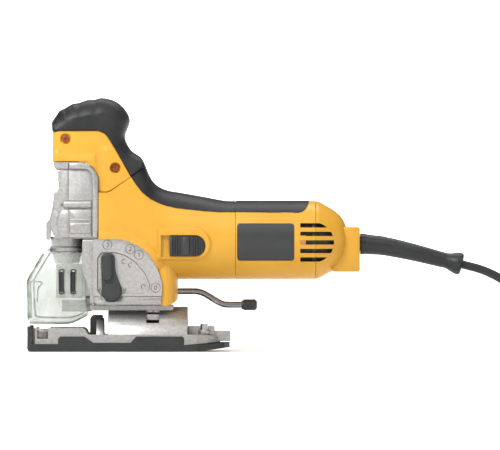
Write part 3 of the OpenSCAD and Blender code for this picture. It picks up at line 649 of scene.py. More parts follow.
def head_swell(xz, _):
    """The shell's lower part stands out more than its top, from a crease that dips towards the front."""
    crease = 158.5 + 5 * np.exp(-((xz[:, 0] + 6) / 7) ** 2) + 7 * soft_step(xz[:, 0], 24, 40)
    margin = soft_step(xz[:, 0] - 31.9, 1.5, 6) + soft_step(31.9 - xz[:, 0], 0, 4)
    return 2.0 / (1 + np.exp((xz[:, 1] - crease) / 1.0)) * margin - 2.0


def head_grip():
    """Soft black grip: ridges for the fingers over its front and top, and a tail down the back."""
    top = smooth_path(HEAD_TOP, 4)
    back = smooth_keep([HEAD_TOP[-1]] + HEAD_LOW[::-1] + [HEAD_TOP[0]], closed=False)[1:-1]
    outline = top + back
    lower = len(top)
    rounding = []
    for i in range(len(outline)):
        if i >= lower or i == 0:
            rounding.append(1.2)
        else:
            rounding.append(min(15, 3 + 0.9 * i, 3 + 1.0 * (lower - i)))
    ridge_end = 44

    def ridges(xz, where):
        depth, _, _ = distance_to(xz, top, closed=False)
        wave = np.where(where < ridge_end, np.sin(where * math.pi / 4.2) ** 8, 0)
        return -0.55 * wave * np.exp(-(depth / 9) ** 2)

    for side, name in ((-1, "head_grip_left"), (1, "head_grip_right")):
        obj = pillow(name, outline, HEAD_HALF + 0.4, rounding, 1.6, side, GRIP, ridges, cell=1.6)
        finish_mesh(obj, 60)
        settle(obj, "housing", ["head_grip"])


# ---- body: a loft of rounded sections along X ----

def spine_z(x):
    line = np.array(smooth_path(SPINE_TOP, 4))
    return float(np.interp(x, line[:, 0], line[:, 1]))


def section(x, proud=0.0, shrink=0.0):
    """Half width, centre height, top, bottom and squareness of the body at x."""
    front = np.clip((98 - x) / 66, 0, 1)
    ease = front * front * (3 - 2 * front)
    half = BARREL_R - 4.8 * ease + proud - shrink
    middle = MOTOR_Z + 4 * ease
    blend = np.clip((x - 60) / 10, 0, 1)
    top = (1 - blend) * 166 + blend * spine_z(max(x, 69.7)) - shrink
    bottom = MOTOR_Z - BARREL_R + shrink - 8 * ease
    up = 2.0 + 1.3 * soft_step(104 - x, 0, 52)
    down = 2.0 + 1.0 * ease
    return half, middle, top, bottom, up, down


def switch_gap(x, z):
    """Distance outside the switch's D-shaped rim: negative inside it."""
    left, low, high, mid_x = 80.4, 74.6, 99.5, 110.0
    mid_z = 0.5 * (low + high)
    half = 0.5 * (high - low)
    inside_box = np.maximum(np.abs(z - mid_z) - half, left - x)
    round_end = np.hypot(x - mid_x, z - mid_z) - half
    return np.where(x > mid_x, round_end, inside_box)


def loft_body(name, x0, x1, proud=0.0, shrink=0.0, detail=False, mat=None):
    """The body's outer form between x0 and x1, as one closed solid; detail adds its raised edges."""
    if detail:
        stations = np.concatenate([np.arange(x0, 126, 0.8), np.arange(126, x1, 2.0), [x1]])
        sides = 400
    else:
        stations = np.linspace(x0, x1, int((x1 - x0) / 2.5))
        sides = 96
    verts = []
    for x in stations:
        half, middle, top, bottom, up, down = section(x, proud, shrink)
        for a in full_turn(sides):
            c, s = math.cos(a), math.sin(a)
            power = up if s >= 0 else down
            reach = (abs(c) ** power + abs(s) ** power) ** (-1 / power)
            y = half * reach * c
            z = middle + (top - middle if s >= 0 else middle - bottom) * reach * s
            verts.append([x, y, z])
    v = np.array(verts)
    if detail:
        # A raised rim round the switch, on the left, and a lip along the edge of the casting
        rim = 2.2 * (1 - soft_step(switch_gap(v[:, 0], v[:, 2]), -0.6, 1.5))
        gap, _, _ = distance_to(v[:, [0, 2]], smooth_path(QUADRANT[:-1], 4), closed=False)
        lip = 1.7 * (1 - soft_step(gap, 4.4, 6.6))
        out = np.where(v[:, 1] < -12, rim, 0) + np.where(np.abs(v[:, 1]) > 12, lip, 0)
        v[:, 1] += np.sign(v[:, 1]) * out
    rings = len(stations)
    faces = wall_faces(rings, sides)
    faces += [list(range(sides))[::-1], [(rings - 1) * sides + k for k in range(sides)]]
    return piece(name, [tuple(p) for p in v], faces, mat or YELLOW)


SKIRT_HALF = 25.4
TILT_Z = 3.0


def skirt():
    """Column of the shell behind the casting, with sloped corners, before it is joined to the body."""
    flank = [(76, 19), (79.5, 23.2), (83, 25.1), (86.5, SKIRT_HALF), (89.6, 24.2), (92.2, 21.8),
             (94.3, 18.4), (95.7, 14), (96.2, 8)]
    plan = [(x, -y) for x, y in flank] + flank[::-1]
    verts = [(x, y * widen, z) for z, widen in ((36.9, 0.93), (86, 1.03)) for x, y in plan]
    return piece("skirt", verts, slab_faces(len(plan)), YELLOW)


def body_shells():
    whole = loft_body("body", 32.05, SEAM_X - 0.12, detail=True)
    carve(whole, [skirt()], "UNION")
    region = (QUADRANT + [(96.3, 36.9), (96.4, 56), (SEAM_X + 1, 56), (SEAM_X + 1, 112.9)]
              + SPINE_LOW[::-1] + [(45.3, 132.2), (42.4, 130.2), (39, 128.8), (32, 128.8)])
    carve(whole, [prism(region, -BEYOND, BEYOND)], "INTERSECT")
    hollow = loft_body("hollow", 34, SEAM_X + 2, shrink=WALL)
    window = prism([(82.6, 76.8), (110, 76.8)] + round_arc(110, 85.6, 8.8, -1.45, 1.45, 14)
                   + [(110, 94.4), (82.6, 94.4)], -BEYOND, -20)
    under = prism([(78.5, 30), (86.4, 30), (86.4, 70), (84, 70), (78.5, 60)], -22.5, 22.5)
    behind = prism([(86, 30), (93.4, 30), (93.4, 70), (86, 70)], -15, 15)
    # The way of the shoe when it tilts
    shoe_path = piece("cutter", *wire([(74, 0, TILT_Z), (98, 0, TILT_Z)], 41.3, 96), YELLOW)
    carve(whole, [hollow, window, under, behind, shoe_path])
    for side, name in ((-1, "body_shell_left"), (1, "body_shell_right")):
        half = new_object(name, whole.data.copy())
        carve(half, [box_mesh(0, 300, *span(side, 0.06, 60), 0, 300)], "INTERSECT")
        finish_mesh(half, 30)
        settle(half, "housing", [name])
    bpy.data.objects.remove(whole)


def spine_grips():
    """Soft strip along the back of the body, standing slightly proud of the shells."""
    obj = loft_body("spine_grip_front", 54, SEAM_X - 0.15, proud=0.5, mat=GRIP)
    region = ([(58.6, 141.0)] + SPINE_LOW[1:-1]
              + [(SEAM_X, 112.9), (SEAM_X, 126), (98, 136), (78, 160), (69.9, 149.9)])
    carve(obj, [prism(region, -BEYOND, BEYOND)], "INTERSECT")
    carve(obj, [loft_body("hollow", 50, SEAM_X + 3, shrink=WALL)])
    finish_mesh(obj, 40)
    soften(obj, 0.5, 2, 50)
    settle(obj, "housing", ["spine_grip_front"])


def seam_liners():
    """Dark strips behind the seams, so that no light comes through them."""
    wall = [(31.1, SEAM_X - 1.6), (31.1, SEAM_X + 1.6), (29.4, SEAM_X + 1.6), (29.4, SEAM_X - 1.6)]
    ring = turned_x(wall, 96), wall_faces(len(wall), 96, closed=True)
    strip = [(32.3, 127.4), (44, 127.4), (60, 138.5), (57, 142), (44, 133), (40, 131), (32.3, 131)]
    bar = [(x, y, z) for y in (-23, 23) for x, z in strip], slab_faces(len(strip))
    settle(join_meshes("seam_liners", [ring, bar], BLACK), "housing", [])


def shell_screws():
    """Recessed screws with a hexagonal socket, on yellow seats."""
    head = [(0.01, -19.3), (2.8, -19.3), (2.8, -22.4), (2.5, -22.9), (2.1, -23.1), (1.5, -23.1),
            (1.35, -21.4), (0.01, -21.4)]
    seat = [(2.7, -18.5), (4.7, -18.5), (4.7, -21.6), (3.7, -20.9), (2.7, -20.7), (2.7, -18.5)]
    heads = [lathe_y(head, x, z, 36) for x, z in SCREWS]
    seats = [lathe_y(seat, x, z, 36) for x, z in SCREWS]
    settle(join_meshes("shell_screws", heads, SCREW, 30), "housing", ["shell_screws"])
    settle(join_meshes("screw_seats", seats, YELLOW, 30), "housing", [])


head_shell(-1, "head_shell_left")
head_shell(1, "head_shell_right")
head_grip()
body_shells()
spine_grips()
seam_liners()
shell_screws()


# ---- castings ----

def side_plates(s, plates, angle):
    """Cast plates on one side: name, outline, nearest and furthest distance from the middle, edge."""
    return [plate_xz(name, outline, *span(s, near, far), CAST, edge, angle)
            for name, outline, near, far, edge in plates]


RIB_Z = 119.2


def gear_case():
    """Cast case: raised frame round a sunk panel, a rib, low panels and a round nose below."""
    case = round_corners([(-4.7, 153.5), (-4.7, 150), (-0.6, 145.5), (-0.6, 131), (-4.7, 128.5), (-4.7, 117),
                          (-1.6, 113), (-1.6, 91.6), (31.8, 91.6), (31.8, 141.2), (30, 145.2), (27.3, 148.6),
                          (24.4, 151), (20.6, 152.8), (15.6, 153.5)],
                         [0.6, 1.5, 1.5, 1.5, 1.5, 2, 2, 0.5, 0.5, 0, 0, 0, 0, 0, 0], 4)
    main = prism(case, -CASE_HALF + 1.4, CASE_HALF - 1.4, "case", CAST)
    pocket = box_mesh(-12, -0.3, -6.4, 6.4, 100, 127)
    bore = piece("bore", turned_z([(7.4, 70), (7.4, 93.2)], 32), tube_faces(2, 32), CAST)
    hollow = prism([(1, 93), (29, 93), (29, 139), (26, 146), (20, 150), (1, 150)], -22.5, 22.5)
    carve(main, [hollow, pocket, bore])
    soften(main, 0.8, 3, 35)
    apply_modifiers(main)
    parts = [main]
    corner = [(20.4 + 6.3 * math.cos(a), 141.6 + 6.1 * math.sin(a)) for a in np.linspace(0.1, 1.5, 8)]
    arch = ([(7.9, 153.3), (15.6, 153.3), (20.4, 152.6), (24.2, 150.9), (27.1, 148.5), (29.8, 145.1),
             (31.7, 141), (31.7, 91.9), (26.9, 91.9), (26.9, 138)] + corner + [(16, 147.8), (7.9, 147.8)])
    lip = round_corners([(-4.6, 153.3), (-4.6, 150.2), (-2.4, 147.9), (7.5, 147.8), (7.5, 153.3)], 0.8)
    front = round_corners([(-0.4, 92.2), (-1.2, 113.6), (-4.3, 117.4), (-4.3, 128.2), (-0.4, 131.3),
                           (-0.4, 145.2), (-2.2, 147.2), (7.5, 147.2), (7.5, 92.2)], 1.0)
    panel = round_corners([(7.9, 92.2), (7.9, 115.2), (26.5, 115.2), (26.5, 92.2)], 1.2)
    small = round_corners([(8.6, 95.4), (8.6, 104.4), (25.8, 104.4), (25.8, 95.4)], 1.6)
    ledge = round_corners([(8.4, 106), (8.4, 107.4), (25.8, 107.4), (25.8, 106)], 0.6)
    root = CASE_HALF - 2.2
    plates = [("arch", arch, root, CASE_HALF + 1.0, 1.1), ("lip", lip, root, CASE_HALF + 0.8, 0.9),
              ("front", front, root, CASE_HALF - 0.5, 0.9), ("panel", panel, root, CASE_HALF + 0.1, 1.0),
              ("small", small, CASE_HALF - 1, CASE_HALF + 0.9, 0.8),
              ("ledge", ledge, CASE_HALF - 1, CASE_HALF + 0.7, 0.5)]
    for s in (-1, 1):
        parts += side_plates(s, plates, 35)
        y = s * (CASE_HALF - 1.8)
        rib = rounded_bar([(3.4, y, RIB_Z), (26.2, y, RIB_Z)], 3.5, 1.0, 32)
        parts.append(piece("rib", *rib, CAST))
    nose = smooth_path([(9.5, 71.5), (10.5, 74), (11.6, 78), (12.7, 83), (13.1, 88), (13.1, 93)], 4)
    parts.append(ring_z("nose", [(7.5, 71.5)] + nose + [(7.5, 93)]))
    parts.append(ring_z("collar", [(8, 80.6), (13.3, 80.6), (14.1, 81.3), (14.1, 84.2), (13.3, 85), (8, 85)]))
    swell = round_corners([(2, 92), (-2.5, 91.8), (-5.4, 95.5), (-6.9, 101), (-6.9, 107.5), (-5.4, 112.8),
                           (-2.6, 117), (2, 118)], [0.5, 2, 3, 4, 4, 3, 2, 0.5], 4)
    cheek = round_corners([(3.4, 92.2), (0.4, 95), (-1.6, 100), (-1.8, 106), (-0.4, 111), (2.6, 115),
                           (8.4, 115), (8.4, 92.2)], [1, 2, 3, 3, 3, 2, 1, 1], 4)
    nose_sides = [("swell", swell, 7.2, CASE_HALF - 1.6, 3.4),
                  ("cheek", cheek, CASE_HALF - 4, CASE_HALF + 0.3, 1.5)]
    parts += side_plates(-1, nose_sides, 35) + side_plates(1, nose_sides, 35)
    settle(merge("gear_case", parts, CAST), "housing", ["gear_case"])
    # Dark bars at the front end of each rib: painted shade in the notch there
    rib_shade_bars = [rounded_bar([(1.2, s * root, RIB_Z), (4.2, s * root, RIB_Z)], 2.3, 0.5) for s in (-1, 1)]
    settle(join_meshes("rib_end_shade", rib_shade_bars, DARK), "housing", [])


DIGITS = {
    "3": [(-0.8, 1.2), (0.1, 1.7), (0.9, 1.1), (0.2, 0.2), (1.0, -0.8), (0.1, -1.7), (-0.9, -1.2)],
    "2": [(-0.9, 1.0), (0.0, 1.7), (0.9, 1.0), (0.6, 0.2), (-0.9, -1.5), (1.0, -1.5)],
    "1": [(-0.5, 0.9), (0.2, 1.6), (0.2, -1.6)],
    "0": [(0, 1.7), (0.85, 0.9), (0.85, -0.9), (0, -1.7), (-0.85, -0.9), (-0.85, 0.9), (0, 1.75)],
}
DIAL = {"3": (39.2, 86.5), "2": (57.7, 83.1), "1": (64.7, 78.4), "0": (78.2, 51.7)}


def selector_plate():
    """Flat cover with a sunk quarter for the selector, and a ringed number at each step."""
    y = -CASTING_HALF - PLATE_T
    outline = ([(27.6, 44.6), (27.6, 90.2), (28.4, 91.1), (32, 91.1)]
               + smooth_path(grow_in(QUADRANT[:-1], 0.12), 3)[1:] + [(83.2, 45)])
    obj = prism(outline, y, y + PLATE_T, "selector_plate", ALLOY)
    sunk = round_corners([(36, 44), (31.2, 49), (31.2, 76), (34.4, 80.1), (46.3, 80.1), (53.7, 77.9),
                          (62.5, 72), (69.9, 63.2), (73.5, 54.4), (72.8, 50), (69.9, 47.2), (50, 47.2),
                          (46, 44)],
                         [3, 4, 3, 2, 4, 5, 5, 3, 2, 2.5, 2, 3, 2], 4)
    carve(obj, [tapered_prism(sunk, (y - 1, 0.9), (y + 1.25, -0.5))])
    finish_mesh(obj, 30)
    soften(obj, 0.3, 2, 30)
    settle(obj, "housing", ["selector_plate"])
    marks = []
    for digit, (x, z) in DIAL.items():
        marks.append(wire([(u, y, v) for u, v in round_arc(x, z, 3.7, 0, 2 * math.pi, 33)], 0.3, 8))
        strokes = [(x + u, y, z + v) for u, v in DIGITS[digit]]
        marks.append(wire(strokes if digit == "1" else smooth_path(strokes, 3), 0.38, 8))
    bed = y + 1.25
    for x, z, turn in ((52.5, 73, 60), (57.9, 70.1, 50), (68.4, 52.4, 10)):
        bow = round_arc(x, z, 1.7, math.radians(turn), math.radians(turn + 230), 12)
        marks.append(wire([(u, bed, v) for u, v in bow], 0.38, 8))
    settle(join_meshes("dial_marks", marks, DARK), "housing", [])
    hub = round_arc(*SELECTOR_HUB, 10.6, math.radians(165), math.radians(375), 30)
    rim = wire([(u, bed, v) for u, v in hub], 1.1, 14)
    settle(join_meshes("hub_rim", [rim], ALLOY), "housing", [])


def tapered_prism(outline, near, far):
    """A prism along Y whose outline grows from one end to the other; near and far are Y and growth."""
    verts = [(x, y, z) for y, by in (near, far) for x, z in grow(outline, by)]
    return piece("cutter", verts, slab_faces(len(outline)), ALLOY)


def grow_in(outline, by):
    """The casting's arc, a hair inside its edge."""
    p = np.array(outline, float)
    centre = np.array([32.0, 45.0])
    way = (centre - p) / np.linalg.norm(centre - p, axis=1)[:, None]
    return [tuple(q) for q in p + way * by]


def lower_casting():
    """Body of the casting under the motor, behind the selector plate, with a foot along its bottom."""
    arc = smooth_path(grow_in(QUADRANT[:-1], 0.1), 3)
    outline = [(31.2, 37.7), (31.2, 91.1)] + arc + [(83.1, 37.7)]
    core = prism(outline, -CASTING_HALF, CASTING_HALF, "core", CAST)
    carve(core, [prism([(36, 50), (36, 86), (48, 86), (60, 81), (68, 73), (76, 60), (77, 50)], -21, 21)])
    soften(core, 0.6, 3, 40)
    apply_modifiers(core)
    parts = [core]
    post = round_corners([(18.8, 44.6), (18.8, 90.9), (33, 90.9), (33, 37.8), (27.6, 37.8),
                          (27.6, 44.6)], 1.0)
    column = round_corners([(18.7, 66), (18.7, 90.8), (29, 90.8), (29, 38.4), (25, 38.4), (25, 47)], 1.4)
    foot = round_corners([(30.5, 37.8), (28.4, 39.8), (28.4, 44.4), (82.9, 44.4), (82.9, 37.8)], 0.9)
    bar = round_corners([(30.5, 37.7), (30.5, 41.2), (82.9, 41.2), (82.9, 37.7)], 0.6)
    plates = [("post", post, 7.3, 9.2, 0.5), ("column", column, 9.6, CASTING_HALF + 0.6, 1.6),
              ("foot", foot, 9, CASTING_HALF + 0.9, 0.7), ("bar", bar, 9, CASTING_HALF + 1.5, 0.5)]
    parts += side_plates(-1, plates, 40) + side_plates(1, plates, 40)
    right = round_corners([(34, 47.5), (32.6, 78), (35, 86), (46, 87), (58, 83), (68, 74), (76, 60),
                           (77, 47.5)], 3)
    parts += side_plates(1, [("right", right, CASTING_HALF - 1, CASTING_HALF + 1.2, 0.9)], 35)
    settle(merge("lower_casting", parts, CAST), "housing", ["lower_casting"])


gear_case()
selector_plate()
lower_casting()


def clamp_block():
    """Guide of the bevel clamp, in the saddle's slot; dark strips behind the joint over the column and a dark
    half-disc behind the guide, both painted shade.
    """
    # Dark strips behind the joint between the case and the column: painted shade in the gap
    gap_shade_strips = [box_mesh(19.4, 31, *span(s, 19.6, 21), 89.5, 92.8) for s in (-1, 1)]
    settle(merge("joint_gap_shade", gap_shade_strips, DARK), "housing", [])
    block = round_corners([(71.3, 24.6), (80.7, 24.6), (80.7, 35.8), (71.3, 35.8)], 1)
    settle(plate_xz("guide", block, -2.8, 2.8, STEEL, 0.5), "housing", [])
    # Dark half-disc in the saddle behind the guide: painted shade of the slot's inside
    arch = round_arc(0, TILT_Z, 23.2, 0.3, math.pi - 0.3, 24)
    verts = [(x, y, z) for x in (67, 85) for y, z in arch]
    settle(piece("saddle_inner_shade", verts, slab_faces(len(arch)), DARK), "shoe", [])


def shoe_webs():
    """Dark plates in the shoe's front notch, painted shade of its inside, and the dark block behind the
    guard.
    """
    # Dark plates at the notch: painted shade inside it
    floor = round_corners([(-19, 10.4), (-19, 17.6), (-7.6, 17.6), (-7.6, 10.4)], 0.4)
    parts = [plate_xz("web", floor, *span(s, 32, 33.6), DARK, 0.4) for s in (-1, 1)]
    settle(merge("shoe_notch_shade", parts, DARK), "shoe", [])
    block = round_corners([(24.7, 14), (24.9, 27), (27, 29.4), (35, 29.4), (35, 14)],
                          [0.5, 3, 1.5, 1, 0.5], 3)
    settle(plate_xz("rear_block", block, -8.5, 8.5, SOLE, 0.8, 35), "shoe", [])


def finger_guard_slots():
    """Dark rims and bars in the slots of the finger guard: painted shade of the slots' inside."""
    rims = []
    for x in (1.9, 11.3):
        for s in (-1, 1):
            y = s * 13.0
            path = [(x + 2.1 * math.cos(a), y, (64.2 if math.sin(a) >= 0 else 48.6) + 2.1 * math.sin(a))
                    for a in np.linspace(0, 2 * math.pi, 25)]
            rims.append(wire(path, 0.5, 8))
            rims.append(rounded_bar([(x, s * 10.2, 48.4), (x, s * 10.2, 64.4)], 1.9, 0.4))
    settle(join_meshes("guard_slot_shade", rims, BLACK), "housing", [])


clamp_block()
shoe_webs()
finger_guard_slots()


# ---- barrel ----

CAP_X = 208.0
CAP_PROFILE = [(31.8, 208), (31.2, 210.4), (29.4, 213.9), (24.6, 222.2), (18.8, 228.9), (9.8, 233.3),
               (0.01, 234.2)]
VENT_LEFT = 195.4
VENT_COUNT = 5
VENT_Z, VENT_STEP, VENT_H = 88.4, 6.9, 3.5
# Round outline that the slots' rear ends follow
VENT_ROUND_X, VENT_REACH, VENT_TALL = 205.0, 17.8, 16.5


def vent_cutters():
    """Five slots on each side, across the seam of the end cap; their rear ends follow a round outline."""
    cuts = []
    for i in range(VENT_COUNT):
        middle = VENT_Z + VENT_STEP * (0.5 * (VENT_COUNT - 1) - i)
        slot = [(VENT_LEFT, middle + VENT_H / 2), (VENT_LEFT, middle - VENT_H / 2)]
        for z in np.linspace(middle - VENT_H / 2, middle + VENT_H / 2, 7):
            slot.append((VENT_ROUND_X + VENT_REACH * math.sqrt(1 - ((z - VENT_Z) / VENT_TALL) ** 2), z))
        cuts += [prism(slot, -BEYOND, -8), prism(slot, 8, BEYOND)]
    return cuts


def label_zone(inset, radius):
    """Outline of the plain label plate; a negative inset makes it larger."""
    x0, x1, z0, z1 = 144.6 + inset, 190.3 - inset, 73.8 + inset, 103.5 - inset
    return round_corners([(x0, z0), (x1, z0), (x1, z1), (x0, z1)], radius)


def band(outer, inner, x0, x1):
    """Section of a ring round the barrel; outer and inner are distances from the barrel's surface."""
    return [(BARREL_R + outer, x0), (BARREL_R + outer, x1), (BARREL_R + inner, x1), (BARREL_R + inner, x0)]


REAR_GRIP = [(SEAM_X - 1, 112.9), (193.9, 112.3), (197.2, 113.2), (199.7, 115.2), (201.6, 118.2),
             (203.2, 122), (203.2, 140), (SEAM_X - 1, 140)]


def motor_housing():
    shell = [(BARREL_R - 0.5, SEAM_X + 0.1), (BARREL_R - 0.1, SEAM_X + 0.3), (BARREL_R, SEAM_X + 0.7),
             (BARREL_R, CAP_X - 0.5), (BARREL_R - 0.12, CAP_X - 0.2), (BARREL_R - 0.5, CAP_X - 0.05),
             (BARREL_R - WALL, CAP_X - 0.05), (BARREL_R - WALL, SEAM_X + 0.1)]
    obj = ring_x("motor_housing", shell)
    recess = ring_x("cutter", band(3, -0.9, 140, 194))
    carve(recess, [prism(label_zone(-0.35, 2.9), -BEYOND, 0)], "INTERSECT")
    carve(obj, [recess, prism(REAR_GRIP, -BEYOND, BEYOND)] + vent_cutters())
    finish_mesh(obj, 30)
    soften(obj, 0.3, 2, 50)
    settle(obj, "housing", ["motor_housing"])
    label = ring_x("label_plate", band(0.15, -0.8, 140, 194), BLACK)
    carve(label, [prism(label_zone(0.0, 2.6), -BEYOND, 0)], "INTERSECT")
    finish_mesh(label, 30)
    soften(label, 0.25, 2, 50)
    settle(label, "housing", ["label_plate"])


def end_cap():
    """Domed cap with a box under it, where the cord goes in."""
    start = [(0.01, CAP_X + 0.05), (BARREL_R - 0.5, CAP_X + 0.05), (BARREL_R - 0.12, CAP_X + 0.2)]
    dome = [(r, max(x, CAP_X + 0.3)) for r, x in smooth_path(CAP_PROFILE, 5)]
    obj = lathe_x("end_cap", start + dome)
    hollow = lathe_x("hollow", [(0.01, CAP_X - 1), (BARREL_R - WALL, CAP_X - 1), (BARREL_R - 3, CAP_X + 1.5),
                                (26.6, 213), (22, 221), (16.4, 227), (8.6, 230.4), (0.01, 231.2)], 64)
    carve(obj, [hollow] + vent_cutters())
    soften(obj, 0.3, 2, 50)
    apply_modifiers(obj)
    box = [(221.4, 64.6), (243.9, 64.6), (243.9, 101), (221.4, 101)]
    tail = plate_xz("tail", box, -12.9, 12.9, YELLOW, 1.6)
    settle(merge("end_cap", [obj, tail], YELLOW), "housing", ["end_cap"])
    # Dark ring behind the vents: painted shade of the barrel's inside
    wall = [(27.6, 190), (27.6, 206), (25.6, 212), (21.3, 220.2), (15.6, 226), (9, 229.4),
            (9, 228.6), (15, 225.3), (20.6, 219.7), (24.8, 211.6), (26.8, 205.6), (26.8, 190)]
    vent_shade_ring = ring_x("vent_inner_shade", wall, BLACK, 64)
    settle(vent_shade_ring, "housing", [])


def spine_rear():
    """The soft strip goes on over the barrel and ends in a round corner."""
    obj = ring_x("spine_grip_rear", band(0.25, -WALL, SEAM_X + 0.15, 205), GRIP)
    carve(obj, [prism(grow(REAR_GRIP, -0.15), -BEYOND, BEYOND)], "INTERSECT")
    finish_mesh(obj, 30)
    soften(obj, 0.5, 3, 50)
    settle(obj, "housing", ["spine_grip_rear"])


motor_housing()
end_cap()
spine_rear()


# ---- controls ----

def orbit_selector():
    """Teardrop lever with an oval grip standing up from it."""
    hub_x, hub_z = SELECTOR_HUB
    hub = round_arc(hub_x, hub_z, 8.5, math.radians(165), math.radians(388), 26)
    arm = smooth_path([hub[-1], (46.4, 63), (45.5, 70), (45.3, 75.5), (44.2, 78.3), (41.5, 79.4), (38, 79.4),
                       (35.2, 78.3), (34.1, 75.5), (34.2, 68), (34.5, 60), hub[0]], 4)[1:-1]
    obj = plate_xz("orbit_selector", hub + arm, -30.0, -26.9, BLACK, 1.0, 35)
    grip = round_arc(39.2, 75.3, 3.9, 0, math.pi, 14) + round_arc(39.2, 61.2, 3.9, math.pi, 2 * math.pi, 14)
    handle = plate_xz("grip", grip, -33.9, -29, BLACK, 1.2, 35)
    boss = round_arc(hub_x, hub_z, 7.2, 0, 2 * math.pi, 40)[:-1]
    dome = plate_xz("dome", boss, -30.9, -29, BLACK, 0.7, 35)
    carve(obj, [handle, dome], "UNION")
    finish_mesh(obj, 35)
    soften(obj, 0.35, 2, 40)
    settle(obj, "orbit_selector", ["orbit_selector"])


SLIDE_Z = (77.3, 93.9)
SLIDE_END_X = 110
RIB_W = 1.2


def switch_slider():
    """Slide with a round rear end, fine ribs at both ends and a raised bar in its middle."""
    low, high = SLIDE_Z
    mid, r = 0.5 * (low + high), 0.5 * (high - low)
    outline = ([(89.6, low), (SLIDE_END_X, low)] + round_arc(SLIDE_END_X, mid, r, -1.35, 1.35, 14)
               + [(SLIDE_END_X, high), (89.6, high)])
    parts = [plate_xz("slide", outline, -32.6, -29.8, BLACK, 0.5, 35)]
    for x in list(np.arange(91.0, 98.6, 1.9)) + list(np.arange(107.4, 117, 1.9)):
        past = x + RIB_W - SLIDE_END_X
        tall = (math.sqrt(r * r - max(0, past) ** 2) if past < r else 0.5) - 0.8
        rib = [(x, mid - tall), (x + RIB_W, mid - tall), (x + RIB_W, mid + tall), (x, mid + tall)]
        parts.append(plate_xz("rib", rib, -33.9, -32, BLACK, 0.5, 35))
    bar = [(99.9, low + 0.5), (105.9, low + 0.5), (105.9, high - 0.5), (99.9, high - 0.5)]
    parts.append(plate_xz("bar", bar, -34.3, -32, BLACK, 0.9, 35))
    parts.append(box_mesh(101, 105, -30.5, -24.2, 82.5, 89))
    settle(merge("switch_slider", parts, BLACK), "switch_slider", ["switch_slider"])
    # Yellow floor under the slide, with a slot for its stem
    floor = round_corners([(82.2, 76.4), (118.6, 76.4), (118.6, 94.8), (82.2, 94.8)], 2)
    bed = prism(floor, -29.5, -28.2, "switch_bed", YELLOW)
    carve(bed, [box_mesh(93.5, 106, -32, -26, 82, 89.5)])
    settle(bed, "housing", [])


LEVER_END_Z = 37.6
LEVER_ROUTE = [(79.6, 0, 48.6), (96, 0, 48.6), (108, 0, 48.6), (112.5, 0, 48.3), (117, 0, 46.9),
               (121, 0, 44.7), (126, 0, 41.6), (130.5, 0, 39.1), (134, 0, 37.9), (138, 0, LEVER_END_Z),
               (143, 0, LEVER_END_Z), (149, 0, LEVER_END_Z)]


def bevel_lever():
    obj = join_meshes("bevel_lever", [wire(smooth_path(LEVER_ROUTE, 6), 2.45, 32)], CHROME)
    settle(obj, "bevel_lever", ["bevel_lever"])
    cap = [(0.01, 147.8), (3.4, 147.8), (3.6, 148.2), (3.6, 149.2), (4.5, 149.8), (4.6, 150.3)]
    cap += [(4.6 - (0.35 if k % 2 else 0), 150.3 + 0.6 * k) for k in range(1, 13)]
    cap += [(4.5, 158.6), (4.1, 159.3), (3.3, 159.6), (3.2, 160.1), (2.6, 160.4), (0.01, 160.4)]
    sides = 40
    verts = []
    for r, x in cap:
        for k, a in enumerate(full_turn(sides)):
            dent = 0.035 if k % 4 == 0 and 150 < x < 158.5 else 0
            verts.append((x, r * math.cos(a) * (1 - dent), LEVER_END_Z + r * math.sin(a)))
    knob = piece("bevel_lever_cap", verts, tube_faces(len(cap), sides), BLACK)
    settle(knob, "bevel_lever", ["bevel_lever_cap"])


GUARD_T = 1.7
GUARD_HALF = 11.2


